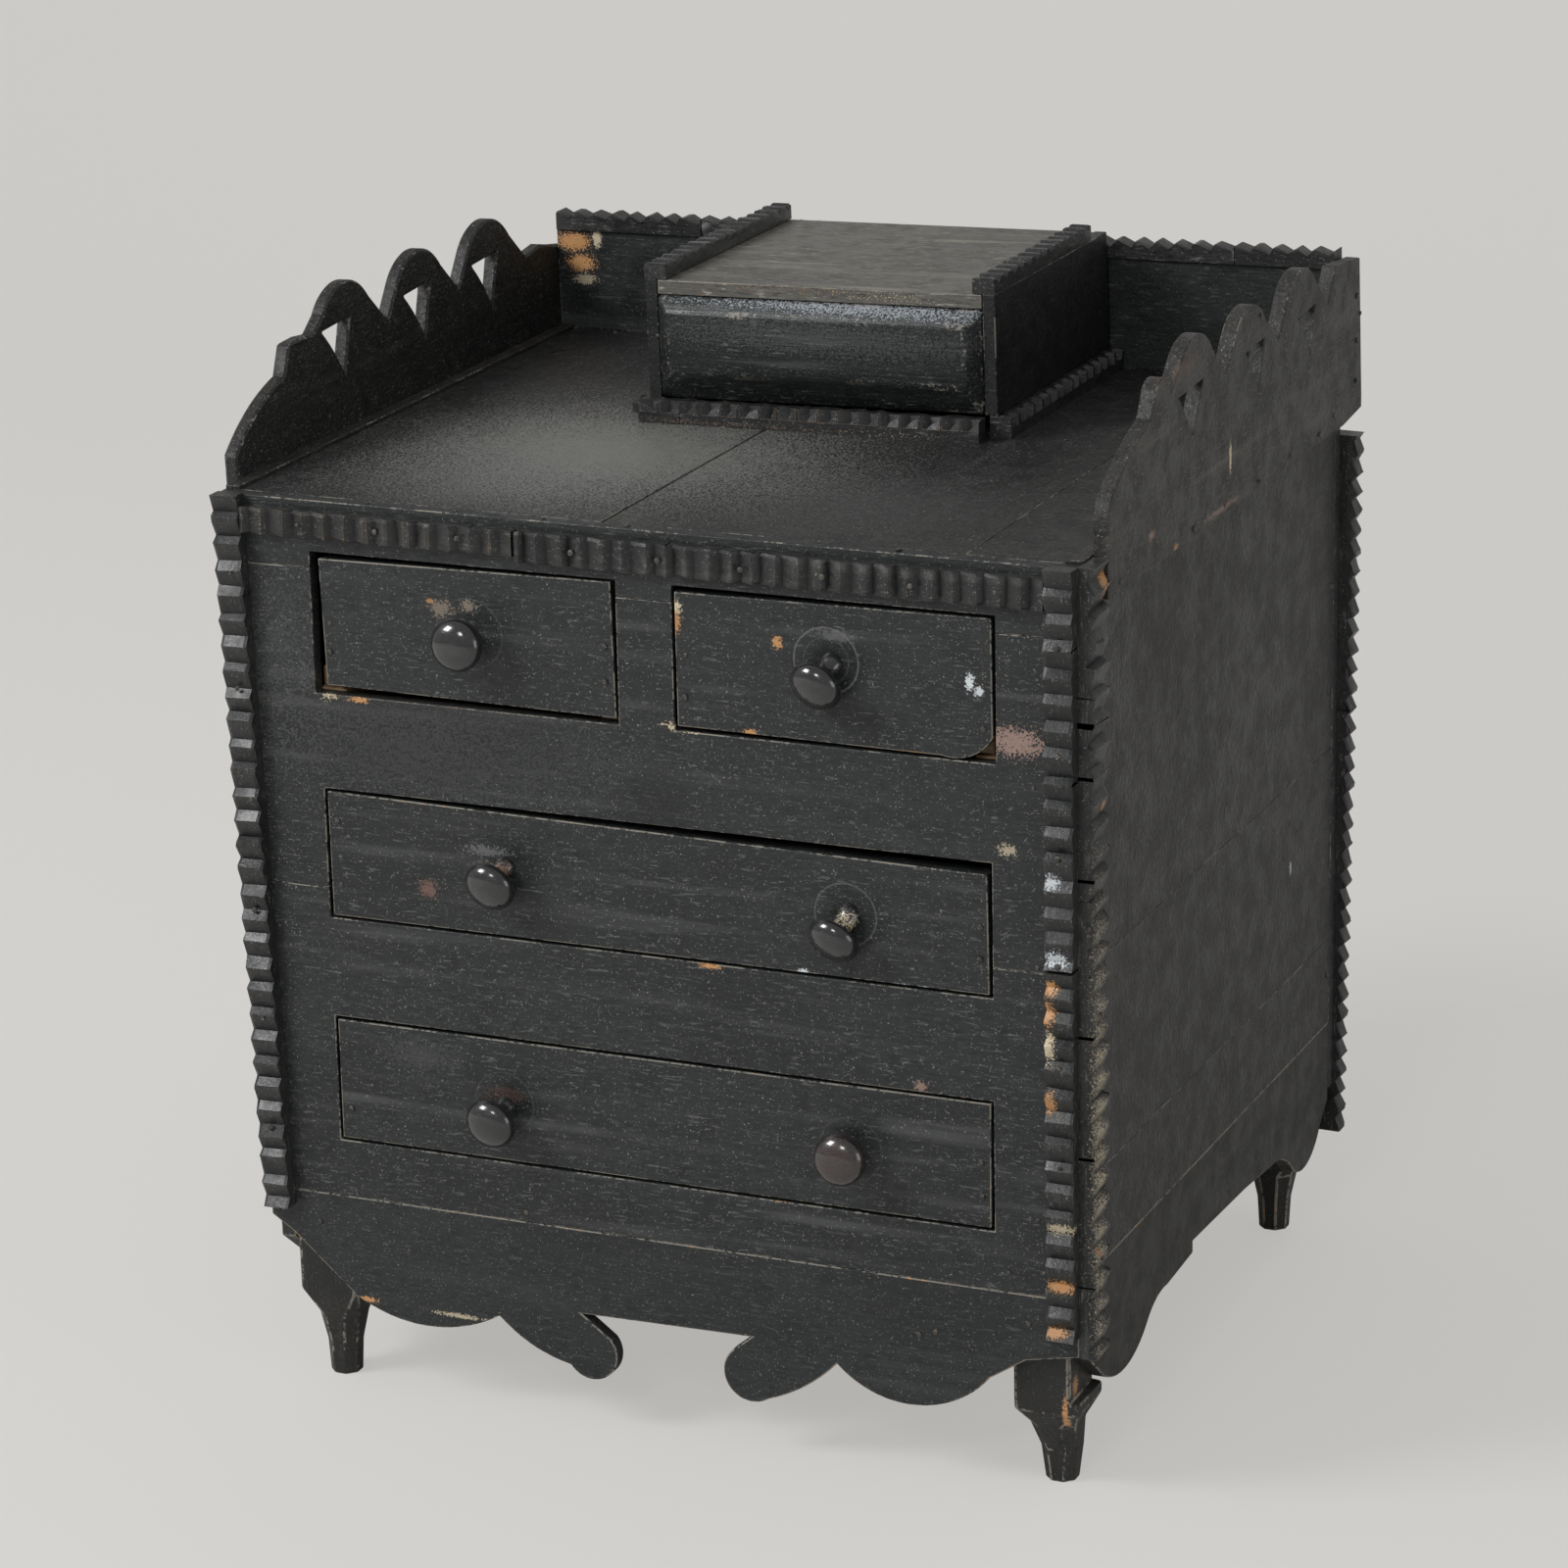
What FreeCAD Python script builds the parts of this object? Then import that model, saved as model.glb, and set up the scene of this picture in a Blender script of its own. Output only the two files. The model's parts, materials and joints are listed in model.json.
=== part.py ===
import FreeCAD, Part
import math
import os

import Sketcher

# Black-painted tramp art chest in miniature: a nailed carcass of thin boards on four carved
# feet, four drawers, a fretted gallery round the top and a small sliding-lid box on it.
# +Z is up, the drawers face -Y, the feet stand on Z = 0 and the footprint is centred on the origin.

os.makedirs("parts", exist_ok=True)
doc = FreeCAD.newDocument("miniature_chest")
sheet = doc.addObject("Spreadsheet::Sheet", "sizes")

SIZES = {
    # carcass
    "case_width": 360.0,
    "case_depth": 322.0,
    "side_rise": 1.5,
    "board": 6.5,
    "back_board": 7.5,
    "lean_degrees": 1.5,
    "lean_pivot": 144.0,
    "centre_shift_x": 0.0,
    "centre_shift_y": 0.0,
    # the front from the floor to the top, member by member
    "apron_seam": 88.0,
    "bottom_rail": 24.8,
    "bottom_opening_height": 54.4,
    "lower_rail": 42.6,
    "middle_opening_height": 55.2,
    "upper_rail": 40.0,
    "small_opening_height": 58.8,
    "top_rail": 21.2,
    # seams between the boards, from the edge that each one follows
    "front_seam_rise": 12.7,
    "rail_seam_drop": 6.8,
    "side_seam_low_rise": 7.0,
    "side_seam_middle_rise": 46.5,
    "back_seam_rise": 117.0,
    "back_drop": 25.0,
    "top_seam_left": -19.0,
    "top_seam_right": 133.0,
    "top_gap": 1.2,
    # drawer openings in the front
    "opening_centre": 0.3,
    "wide_margin": 35.5,
    "small_margin": 33.5,
    "stile": 24.0,
    # drawers
    "drawer_front": 9.0,
    "drawer_stop": 22.0,
    "drawer_wall": 6.0,
    "drawer_floor": 3.5,
    "drawer_headroom": 9.0,
    "tray_gap": 4.0,
    "tray_lift": 1.0,
    "running_gap": 0.3,
    "runner_width": 12.0,
    "runner_height": 10.0,
    "guide_width": 5.0,
    "guide_height": 8.0,
    # knobs
    "knob_radius": 11.0,
    "knob_head": 9.6,
    "knob_rim": 2.8,
    "stem_radius": 4.2,
    "stem_length": 8.5,
    # feet
    "foot_width": 27.0,
    "foot_tip": 12.6,
    "foot_block_top": 92.0,
    "foot_shoulder": 40.0,
    "spread_foot_out": 3.0,
    "spread_foot_back": 3.5,
    # aprons
    "front_apron_bottom": 25.0,
    "side_apron_bottom": 38.0,
    # gallery
    "gallery_board": 6.3,
    "gallery_lap": 16.0,
    "gallery_front": 17.6,
    "gallery_overrun": 17.0,
    "gallery_heel": 49.0,
    "hump_start": 87.5,
    "back_gallery_left": 45.0,
    "back_gallery_right": 50.0,
    "cap_height": 8.0,
    "cap_width": 11.0,
    "cap_inset": 0.8,
    # notched strips
    "notch_pitch": 10.4,
    "fine_pitch": 9.0,
    "notch_depth": 2.6,
    "fine_depth": 2.2,
    "notch_land": 0.9,
    "front_strip_width": 11.5,
    "front_strip": 7.5,
    "front_strip_bottom_left": 81.0,
    "front_strip_bottom_right": 73.0,
    "front_strip_joint": 225.6,
    "joint_gap": 1.4,
    "strip_proud": 0.5,
    "side_strip_width": 17.0,
    "side_strip": 7.0,
    "side_strip_bottom_left": 83.0,
    "side_strip_bottom_right": 64.0,
    "side_strip_setback_left": 11.0,
    "top_strip": 5.5,
    "top_strip_left_height": 10.5,
    "top_strip_right_height": 12.5,
    "top_strip_drop": 4.0,
    "top_strip_joint": -53.0,
    "rear_strip_width": 9.0,
    "rear_strip": 14.0,
    "rear_strip_stand_out": 3.5,
    "rear_strip_lean_degrees": 0.86,
    "rear_strip_bottom": 40.5,
    "rear_strip_short": 8.0,
    # small box on the top
    "box_width": 157.5,
    "box_centre": -0.7,
    "box_depth": 135.5,
    "box_back_gap": 2.5,
    "box_height": 50.8,
    "box_tilt_degrees": 1.25,
    "box_floor": 4.5,
    "box_side": 5.5,
    "box_lid": 6.0,
    "box_block": 15.0,
    "pillow_rise": 6.0,
    "pillow_bottom_bevel": 12.0,
    "lid_gap": 0.35,
    "lid_strip_width": 9.7,
    "lid_strip": 6.8,
    "lid_strip_short": 19.5,
    "base_strip_width": 9.5,
    "base_strip": 9.4,
    "base_strip_skew": 3.7,
    "base_strip_reveal": 6.0,
    "base_strip_forward": 21.0,
    "base_strip_lead": 5.0,
    "arris_notch": 3.6,
}

for row, (name, value) in enumerate(SIZES.items(), start=1):
    sheet.set(f"A{row}", name)
    sheet.set(f"B{row}", str(value))
    sheet.setAlias(f"B{row}", name)
doc.recompute()


def size(name):
    return float(getattr(sheet, name))


# The number that an expression over the sizes gives now.
def worth(expression):
    return float(sheet.evalExpression(expression))


# Height above the floor of the upper edge of one member of the front.
def level(member):
    names = list(SIZES)
    first = names.index("apron_seam")
    return "(" + " + ".join(f"sizes.{name}" for name in names[first : names.index(member) + 1]) + ")"


UP = FreeCAD.Vector(0, 0, 1)
ACROSS = FreeCAD.Vector(1, 0, 0)
BACKWARD = FreeCAD.Vector(0, 1, 0)
UPRIGHT = FreeCAD.Rotation()
LEAN = FreeCAD.Rotation(BACKWARD, -size("lean_degrees"))

LEFT_X = "-sizes.case_width / 2"
RIGHT_X = "sizes.case_width / 2"
BACK_Y = "sizes.case_depth"
REAR_Y = "sizes.case_depth + sizes.back_board"

BOTTOM_SILL = level("bottom_rail")
MIDDLE_SILL = level("lower_rail")
SMALL_SILL = level("upper_rail")
SMALL_HEAD = level("small_opening_height")
TOP = level("top_rail")
FRONT_SEAM = f"({MIDDLE_SILL} + sizes.front_seam_rise)"
RAIL_SEAM = f"({SMALL_HEAD} - sizes.rail_seam_drop)"
GALLERY_BOTTOM = f"({TOP} - sizes.gallery_lap)"

nodes = []


# Placing: every piece is put down in bench coordinates, X from the middle of the carcass and
# Y from the face of the front boards; the two centre shifts carry the whole chest to its origin.
def place(piece, x, y, z, turn=UPRIGHT):
    piece.Placement = FreeCAD.Placement(FreeCAD.Vector(), turn)
    piece.setExpression("Placement.Base.x", f"{x} + sizes.centre_shift_x")
    piece.setExpression("Placement.Base.y", f"{y} + sizes.centre_shift_y")
    piece.setExpression("Placement.Base.z", f"{z}")
    return piece


# The left side of the real chest leans outwards; its boards, strips and gallery turn with it
# about a line on its outer face at the pivot height. "out" is towards +X, "up" along the board.
def place_leaning(piece, out, y, up, turn=UPRIGHT):
    cosine = "cos(sizes.lean_degrees)"
    sine = "sin(sizes.lean_degrees)"
    rise = f"({up} - sizes.lean_pivot)"
    x = f"{LEFT_X} + ({out}) * {cosine} - {rise} * {sine}"
    z = f"sizes.lean_pivot + ({out}) * {sine} + {rise} * {cosine}"
    return place(piece, x, y, z, LEAN * turn)


def leaning_edge(height):
    slope = math.tan(math.radians(size("lean_degrees")))
    return -size("case_width") / 2 - (height - size("lean_pivot")) * slope


def keep(piece, name):
    piece.Label = name
    nodes.append(piece)
    return piece


def block(name, length, depth, height):
    piece = doc.addObject("Part::Box", name)
    piece.setExpression("Length", length)
    piece.setExpression("Width", depth)
    piece.setExpression("Height", height)
    return piece


def new_sketch(body, name, role):
    sketch = body.newObject("Sketcher::SketchObject", name)
    plane = next(item for item in body.Origin.OriginFeatures if item.Role == role)
    sketch.AttachmentSupport = (plane, [""])
    sketch.MapMode = "FlatFace"
    return sketch


# A closed outline: each step is an end point, or a pair (point on the arc, end point).
def draw_outline(sketch, start, steps):
    here = FreeCAD.Vector(*start, 0)
    first = sketch.GeometryCount
    for step in list(steps) + [start]:
        if isinstance(step[0], tuple):
            through = FreeCAD.Vector(*step[0], 0)
            there = FreeCAD.Vector(*step[1], 0)
            sketch.addGeometry(Part.Arc(here, through, there), False)
        else:
            there = FreeCAD.Vector(*step, 0)
            if (there - here).Length < 1e-6:
                break
            sketch.addGeometry(Part.LineSegment(here, there), False)
        here = there
    return first, sketch.GeometryCount - 1


# A rectangle from the sketch's own origin, held by constraints that follow the sizes.
def draw_rectangle(sketch, width, height):
    corners = [(0, 0), (10, 0), (10, 10), (0, 10)]
    for start, end in zip(corners, corners[1:] + corners[:1]):
        sketch.addGeometry(Part.LineSegment(FreeCAD.Vector(*start, 0), FreeCAD.Vector(*end, 0)), False)
    for side in range(4):
        sketch.addConstraint(Sketcher.Constraint("Coincident", side, 2, (side + 1) % 4, 1))
    for side, direction in enumerate(["Horizontal", "Vertical", "Horizontal", "Vertical"]):
        sketch.addConstraint(Sketcher.Constraint(direction, side))
    sketch.addConstraint(Sketcher.Constraint("Coincident", 0, 1, -1, 1))
    across = sketch.addConstraint(Sketcher.Constraint("DistanceX", 0, 1, 0, 2, 10))
    upward = sketch.addConstraint(Sketcher.Constraint("DistanceY", 1, 1, 1, 2, 10))
    sketch.renameConstraint(across, "across")
    sketch.renameConstraint(upward, "upward")
    sketch.setExpression("Constraints.across", width)
    sketch.setExpression("Constraints.upward", height)


def pad_sketch(body, sketch, length, backward=False):
    pad = body.newObject("PartDesign::Pad", body.Name + "_pad")
    pad.Profile = sketch
    pad.setExpression("Length", length)
    pad.Reversed = backward
    sketch.Visibility = False
    return pad


# A sawn board with a shaped outline, flat in the XZ plane (thickness towards +Y) or in the
# YZ plane (thickness towards +X).
def shaped_board(name, role, start, steps, thickness, holes=()):
    body = doc.addObject("PartDesign::Body", name)
    sketch = new_sketch(body, name + "_outline", role)
    draw_outline(sketch, start, steps)
    for hole_start, hole_steps in holes:
        draw_outline(sketch, hole_start, hole_steps)
    pad_sketch(body, sketch, thickness, backward=role == "XZ_Plane")
    return body


# Front of the carcass: four horizontal boards, sawn out round the drawer openings. Their left
# ends follow the leaning side.
def opening_edges():
    centre = size("opening_centre")
    stile = size("stile") / 2
    wide = size("case_width") / 2 - size("wide_margin")
    small = size("case_width") / 2 - size("small_margin")
    return {
        "wide": (centre - wide, centre + wide),
        "left": (centre - small, centre - stile),
        "right": (centre + stile, centre + small),
    }


def front_boards():
    edges = opening_edges()
    right = size("case_width") / 2
    top = worth(TOP)
    rail = worth(RAIL_SEAM)
    seam = worth(FRONT_SEAM)
    apron = size("apron_seam")
    sill = worth(SMALL_SILL)
    small_top = worth(SMALL_HEAD)
    middle_sill = worth(MIDDLE_SILL)
    middle_top = middle_sill + size("middle_opening_height")
    bottom_sill = worth(BOTTOM_SILL)
    bottom_top = bottom_sill + size("bottom_opening_height")
    wide_left, wide_right = edges["wide"]

    rail_steps = [(edges["left"][0], rail), (edges["left"][0], small_top)]
    rail_steps += [(edges["left"][1], small_top), (edges["left"][1], rail)]
    rail_steps += [(edges["right"][0], rail), (edges["right"][0], small_top)]
    rail_steps += [(edges["right"][1], small_top), (edges["right"][1], rail)]
    rail_steps += [(right, rail), (right, top), (leaning_edge(top), top)]
    front_board("front_top_rail", (leaning_edge(rail), rail), rail_steps)

    upper_steps = [(wide_left, seam), (wide_left, middle_top), (wide_right, middle_top)]
    upper_steps += [(wide_right, seam), (right, seam), (right, rail)]
    upper_steps += [(edges["right"][1], rail), (edges["right"][1], sill)]
    upper_steps += [(edges["right"][0], sill), (edges["right"][0], rail)]
    upper_steps += [(edges["left"][1], rail), (edges["left"][1], sill)]
    upper_steps += [(edges["left"][0], sill), (edges["left"][0], rail)]
    upper_steps += [(leaning_edge(rail), rail)]
    front_board("front_board_upper", (leaning_edge(seam), seam), upper_steps)

    lower_steps = [(right, apron), (right, seam), (wide_right, seam)]
    lower_steps += [(wide_right, middle_sill), (wide_left, middle_sill), (wide_left, seam)]
    lower_steps += [(leaning_edge(seam), seam)]
    window = [(wide_right, bottom_sill), (wide_right, bottom_top), (wide_left, bottom_top)]
    front_board(
        "front_board_lower",
        (leaning_edge(apron), apron),
        lower_steps,
        holes=[((wide_left, bottom_sill), window)],
    )


def front_board(name, start, steps, holes=()):
    body = shaped_board(name, "XZ_Plane", start, steps, "sizes.board", holes)
    keep(place(body, "0", "0", "0"), name)


# Scalloped front apron: a round scallop beside each foot and a thumb-shaped lobe on each side
# of the open middle, sawn freehand, so the two halves differ a little. The curves were drawn
# across the whole board, so each point is a share of its length.
def front_apron():
    seam = size("apron_seam")
    low = size("front_apron_bottom")
    left = leaning_edge(seam)
    length = size("case_width") / 2 - left

    def point(share, rise):
        return (left + share * length, low + rise)

    steps = [
        point(0.0, 50.0),
        point(0.028, 43.4),
        point(0.1065, 18.7),
        (point(0.194, 9.6), point(0.291, 19.3)),
        (point(0.331, 8.6), point(0.3805, 2.4)),
        (point(0.4395, 8.6), point(0.4325, 16.0)),
        point(0.396, 25.8),
        point(0.607, 26.9),
        point(0.587, 21.0),
        (point(0.58, 2.9), point(0.626, 0.6)),
        (point(0.668, 7.9), point(0.711, 20.8)),
        (point(0.802, 8.0), point(0.894, 24.7)),
        point(0.937, 34.7),
        point(1.0, 39.2),
        point(1.0, seam - low),
    ]
    body = shaped_board("front_apron", "XZ_Plane", (left, seam), steps, "sizes.board")
    keep(place(body, "0", "0", "0"), "front_apron")


# Sides: three plain boards over an apron with a low swelling before and behind the feet.
SIDE_SEAM = "(sizes.apron_seam + sizes.side_seam_low_rise)"


def side_boards():
    seams = [SIDE_SEAM, "sizes.apron_seam + sizes.side_seam_middle_rise", FRONT_SEAM]
    seams.append(f"{TOP} + sizes.side_rise")
    for label, low, high in zip(["lower", "middle", "upper"], seams, seams[1:]):
        for side in ["left", "right"]:
            name = f"side_{side}_{label}"
            board = block(name, "sizes.board", f"{BACK_Y} - sizes.board", f"{high} - ({low})")
            put_side(board, side, "sizes.board", "0", low)
            keep(board, name)
    for side in ["left", "right"]:
        keep(side_apron(f"side_apron_{side}", side), f"side_apron_{side}")


# A piece of a side stands between the outer face of the carcass and "inward" behind it.
def put_side(piece, side, thickness, offset, up, front="sizes.board", turn=UPRIGHT):
    if side == "left":
        return place_leaning(piece, offset, front, up, turn)
    return place(piece, f"{RIGHT_X} - {thickness} - ({offset})", front, up, turn)


def side_apron(name, side):
    seam = worth(SIDE_SEAM)
    low = size("side_apron_bottom")
    front = 0.0
    back = size("case_depth") - size("board")
    start = (front, seam)
    steps = [
        (front, low + 25.0),
        (22.0, low + 7.0),
        ((52.0, low + 0.2), (74.0, low + 9.0)),
        ((84.0, low + 14.5), (99.0, low + 16.0)),
        (131.0, low + 17.8),
        (131.0, low + 23.0),
        (back - 115.5, low + 20.4),
        (back - 72.5, low + 17.0),
        ((back - 59.5, low + 12.5), (back - 47.5, low + 3.2)),
        ((back - 25.5, low + 0.4), (back - 10.0, low + 12.0)),
        (back, low + 20.0),
        (back, seam),
    ]
    body = shaped_board(name, "YZ_Plane", start, steps, "sizes.board")
    if side == "left":
        return place_leaning(body, "0", "sizes.board", "0")
    return place(body, f"{RIGHT_X} - sizes.board", "sizes.board", "0")


# Back: two wide boards nailed on behind the sides.
def back_boards():
    right = size("case_width") / 2
    seams = [size("apron_seam") - size("back_drop"), size("apron_seam") + size("back_seam_rise"), worth(TOP)]
    for label, low, high in zip(["lower", "upper"], seams, seams[1:]):
        name = f"back_board_{label}"
        steps = [(right, low), (right, high), (leaning_edge(high), high)]
        body = shaped_board(name, "XZ_Plane", (leaning_edge(low), low), steps, "sizes.back_board")
        keep(place(body, "0", BACK_Y, "0"), name)


# Top: three boards running front to back between the sides, with an open joint between two.
def top_boards():
    underside = worth(TOP) - size("board")
    slack = size("board") / math.cos(math.radians(size("lean_degrees")))
    left_edge = leaning_edge(underside) + slack
    inner_right = f"{RIGHT_X} - sizes.board"
    boards = {
        "top_board_left": (f"{left_edge}", "sizes.top_seam_left - sizes.top_gap"),
        "top_board_middle": ("sizes.top_seam_left", "sizes.top_seam_right - 0.2"),
        "top_board_right": ("sizes.top_seam_right", f"{inner_right} - sizes.top_gap / 2"),
    }
    for name, (left, right) in boards.items():
        board = block(name, f"{right} - ({left})", f"{BACK_Y} - sizes.board", "sizes.board")
        keep(place(board, left, "sizes.board", f"{TOP} - sizes.board"), name)


# Side gallery: one fretted board per side, nailed on the outside. The front rises from a low
# round shoulder to three humps, each pierced by a triangle; both boards were sawn by eye. A
# cut-out is (start, width, apex) as shares of the pitch from one hump to the next.
GALLERIES = {
    "left": {
        "peaks": (78.0, 78.0, 78.0),
        "waist": 54.5,
        "cutout_top": 62.3,
        "cutout_height": 22.0,
        "cutouts": [(0.14, 0.355, 0.25), (0.245, 0.355, 0.25), (0.216, 0.355, 0.25)],
    },
    "right": {
        "peaks": (81.0, 78.5, 80.0),
        "waist": 57.0,
        "cutout_top": 61.5,
        "cutout_height": 20.5,
        "cutouts": [(0.163, 0.444, 0.245), (0.385, 0.355, 0.245), (0.4, 0.34, 0.23)],
    },
}
BROW = 10.0


def gallery_side(name, side):
    shape = GALLERIES[side]
    bottom = worth(GALLERY_BOTTOM)
    front = size("gallery_front")
    tail = size("case_depth") + size("gallery_overrun")
    begin = size("hump_start")
    count = len(shape["peaks"])
    pitch = (tail - begin - size("gallery_heel")) / count
    valley = bottom + shape["waist"]
    heel = begin + count * pitch

    steps = [(tail - 25.0, bottom), (tail, bottom + 2.5)]
    if side == "left":
        steps += [(tail, bottom + 51.0), (tail - 19.0, bottom + 54.0)]
        steps += [(tail - 33.4, bottom + 57.0), (heel, valley + 0.5)]
    else:
        steps += [(tail, bottom + 8.0), (tail - 5.0, valley + 12.0)]
        steps += [(heel + 10.0, valley + 15.0), (heel, valley + 1.0)]

    for index in reversed(range(count)):
        foot = begin + index * pitch
        peak = bottom + shape["peaks"][index]
        steps.append((foot + 0.77 * pitch, peak - BROW))
        steps.append(((foot + 0.44 * pitch, peak), (foot + 0.16 * pitch, peak - BROW)))
        if index:
            steps += [(foot + 0.02 * pitch, valley + 1.0), (foot, valley)]
    steps.append((begin + 0.02 * pitch, valley + 7.0))

    if side == "left":
        steps += [(begin - 8.5, bottom + 62.5), (begin - 20.0, bottom + 62.0), (begin - 25.5, bottom + 50.0)]
        steps.append(((front + 28.4, bottom + 45.0), (front, bottom + 27.0)))
    else:
        knob_front = begin - 18.0
        steps.append(((begin - 8.0, valley + 15.5), (knob_front, valley + 8.0)))
        steps.append((knob_front - 4.0, valley + 2.0))
        steps.append(((front + 30.0, bottom + 53.0), (front + 7.0, bottom + 41.0)))
        steps.append(((front + 1.5, bottom + 36.5), (front, bottom + 29.0)))

    holes = []
    top = bottom + shape["cutout_top"]
    height = shape["cutout_height"]
    for index, (offset, width, apex) in enumerate(shape["cutouts"]):
        left = begin + (index + offset) * pitch
        point = left + apex * pitch
        hole = [((left + 0.45 * apex * pitch, top - 0.42 * height), (point, top - height))]
        hole.append((left + width * pitch, top))
        holes.append(((left, top - 1.5), hole))
    body = shaped_board(name, "YZ_Plane", (front, bottom), steps, "sizes.gallery_board", holes)
    if side == "left":
        return place_leaning(body, "-sizes.gallery_board", "0", "0")
    return place(body, RIGHT_X, "0", "0")


# The back gallery board was cut a little askew: its top climbs from left to right.
def gallery():
    for side in ["left", "right"]:
        name = f"gallery_{side}"
        keep(gallery_side(name, side), name)
    low = worth(TOP)
    right = size("case_width") / 2
    left_high = low + size("back_gallery_left")
    right_high = low + size("back_gallery_right")
    steps = [(right, low), (right, right_high), (leaning_edge(left_high), left_high)]
    body = shaped_board("back_gallery", "XZ_Plane", (leaning_edge(low), low), steps, "sizes.back_board")
    keep(place(body, "0", BACK_Y, "0"), "back_gallery")


# A notched strip lies along X with its teeth on +Z. Each tooth is a long slope and a short one
# with a narrow worn land between them, cut across the whole face.
def notched_strip(name, length, width, thickness, pitch, depth, flip=False, arris=False):
    body = doc.addObject("PartDesign::Body", name)
    outline = new_sketch(body, name + "_side", "XZ_Plane")
    draw_rectangle(outline, length, thickness)
    pad_sketch(body, outline, width, backward=True)
    doc.recompute()
    long_side = float(outline.getDatum("across"))
    thick = float(outline.getDatum("upward"))
    step = size(pitch)
    cut = size(depth)
    land = size("notch_land")
    count = int(long_side / step)
    first = (long_side - count * step + land) / 2
    mouth = step - land
    valley_at = 0.32 if flip else 0.68
    notch = new_sketch(body, name + "_notch", "XZ_Plane")
    if arris:
        notch.AttachmentOffset = FreeCAD.Placement(FreeCAD.Vector(0, thick, 0), FreeCAD.Rotation(ACROSS, 45))
        corners = [(first, 0.0), (first + mouth * 0.5, -cut)]
        corners.append((first + mouth, 0.0))
    else:
        corners = [(first, thick), (first + mouth * valley_at, thick - cut)]
        corners.append((first + mouth, thick))
    draw_outline(notch, corners[0], corners[1:])
    pocket = body.newObject("PartDesign::Pocket", name + "_cut")
    pocket.Profile = notch
    pocket.Type = 1
    pocket.Midplane = True
    pattern = body.newObject("PartDesign::LinearPattern", name + "_row")
    pattern.Originals = [pocket]
    pattern.Direction = (notch, ["H_Axis"])
    pattern.Length = step * (count - 1)
    pattern.Occurrences = count
    body.Tip = pattern
    notch.Visibility = False
    return body


# How a strip lies: the directions of its length, its width and its teeth.
def lying(length, width, teeth):
    return FreeCAD.Rotation(FreeCAD.Vector(*length), FreeCAD.Vector(*width), FreeCAD.Vector(*teeth))


UPWARD_FACING_FRONT = lying((0, 0, 1), (-1, 0, 0), (0, -1, 0))
UPWARD_FACING_RIGHT = lying((0, 0, 1), (0, -1, 0), (1, 0, 0))
UPWARD_FACING_LEFT = lying((0, 0, 1), (0, 1, 0), (-1, 0, 0))
ACROSS_FACING_FRONT = lying((1, 0, 0), (0, 0, 1), (0, -1, 0))
BACKWARD_FACING_UP = lying((0, 1, 0), (-1, 0, 0), (0, 0, 1))
BACKWARD_FACING_LEFT = lying((0, -1, 0), (1, 0, 0), (0, 0, 1))


# Strips up the front corners; the right one is in two lengths with an open joint.
STRIP_TOP = f"({TOP} + sizes.strip_proud)"


def front_strips():
    width = "sizes.front_strip_width"
    left_length = f"{STRIP_TOP} - sizes.front_strip_bottom_left"
    strip = notched_strip(
        "front_strip_left", left_length, width, "sizes.front_strip", "notch_pitch", "notch_depth", flip=True
    )
    place_leaning(strip, width, "0", "sizes.front_strip_bottom_left", UPWARD_FACING_FRONT)
    keep(strip, "front_strip_left")
    joint = "sizes.front_strip_joint"
    spans = {
        "front_strip_right_lower": ("sizes.front_strip_bottom_right", joint),
        "front_strip_right_upper": (f"{joint} + sizes.joint_gap", STRIP_TOP),
    }
    for name, (low, high) in spans.items():
        strip = notched_strip(
            name, f"{high} - ({low})", width, "sizes.front_strip", "notch_pitch", "notch_depth", flip=True
        )
        keep(place(strip, RIGHT_X, "0", low, UPWARD_FACING_FRONT), name)


# Strips on the sides, behind the front corners. The left one was nailed on further back, so it
# ends under the gallery.
def side_strips():
    spans = {
        "left": (UPWARD_FACING_LEFT, f"({GALLERY_BOTTOM} - sizes.running_gap)"),
        "right": (UPWARD_FACING_RIGHT, STRIP_TOP),
    }
    for side, (turn, top) in spans.items():
        name = f"side_strip_{side}"
        bottom = f"sizes.side_strip_bottom_{side}"
        strip = notched_strip(
            name,
            f"{top} - {bottom}",
            "sizes.side_strip_width",
            "sizes.side_strip",
            "notch_pitch",
            "notch_depth",
            flip=True,
        )
        if side == "left":
            place_leaning(strip, "0", "sizes.side_strip_setback_left", bottom, turn)
        else:
            place(strip, RIGHT_X, "sizes.side_strip_width", bottom, turn)
        keep(strip, name)


# Strips under the front edge of the top, in two lengths of unequal height.
def top_strips():
    left_start = f"{leaning_edge(worth(TOP))} + sizes.front_strip_width + 0.6"
    right_end = f"{RIGHT_X} - sizes.front_strip_width - 0.4"
    joint = "sizes.top_strip_joint"
    spans = {
        "top_strip_left": (left_start, f"{joint} - sizes.joint_gap / 2", "sizes.top_strip_left_height"),
        "top_strip_right": (f"{joint} + sizes.joint_gap / 2", right_end, "sizes.top_strip_right_height"),
    }
    for name, (left, right, height) in spans.items():
        strip = notched_strip(
            name, f"{right} - ({left})", height, "sizes.top_strip", "fine_pitch", "fine_depth", flip=True
        )
        bottom = f"{TOP} - sizes.top_strip_drop - {height}"
        keep(place(strip, left, "0", bottom, ACROSS_FACING_FRONT), name)


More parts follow.
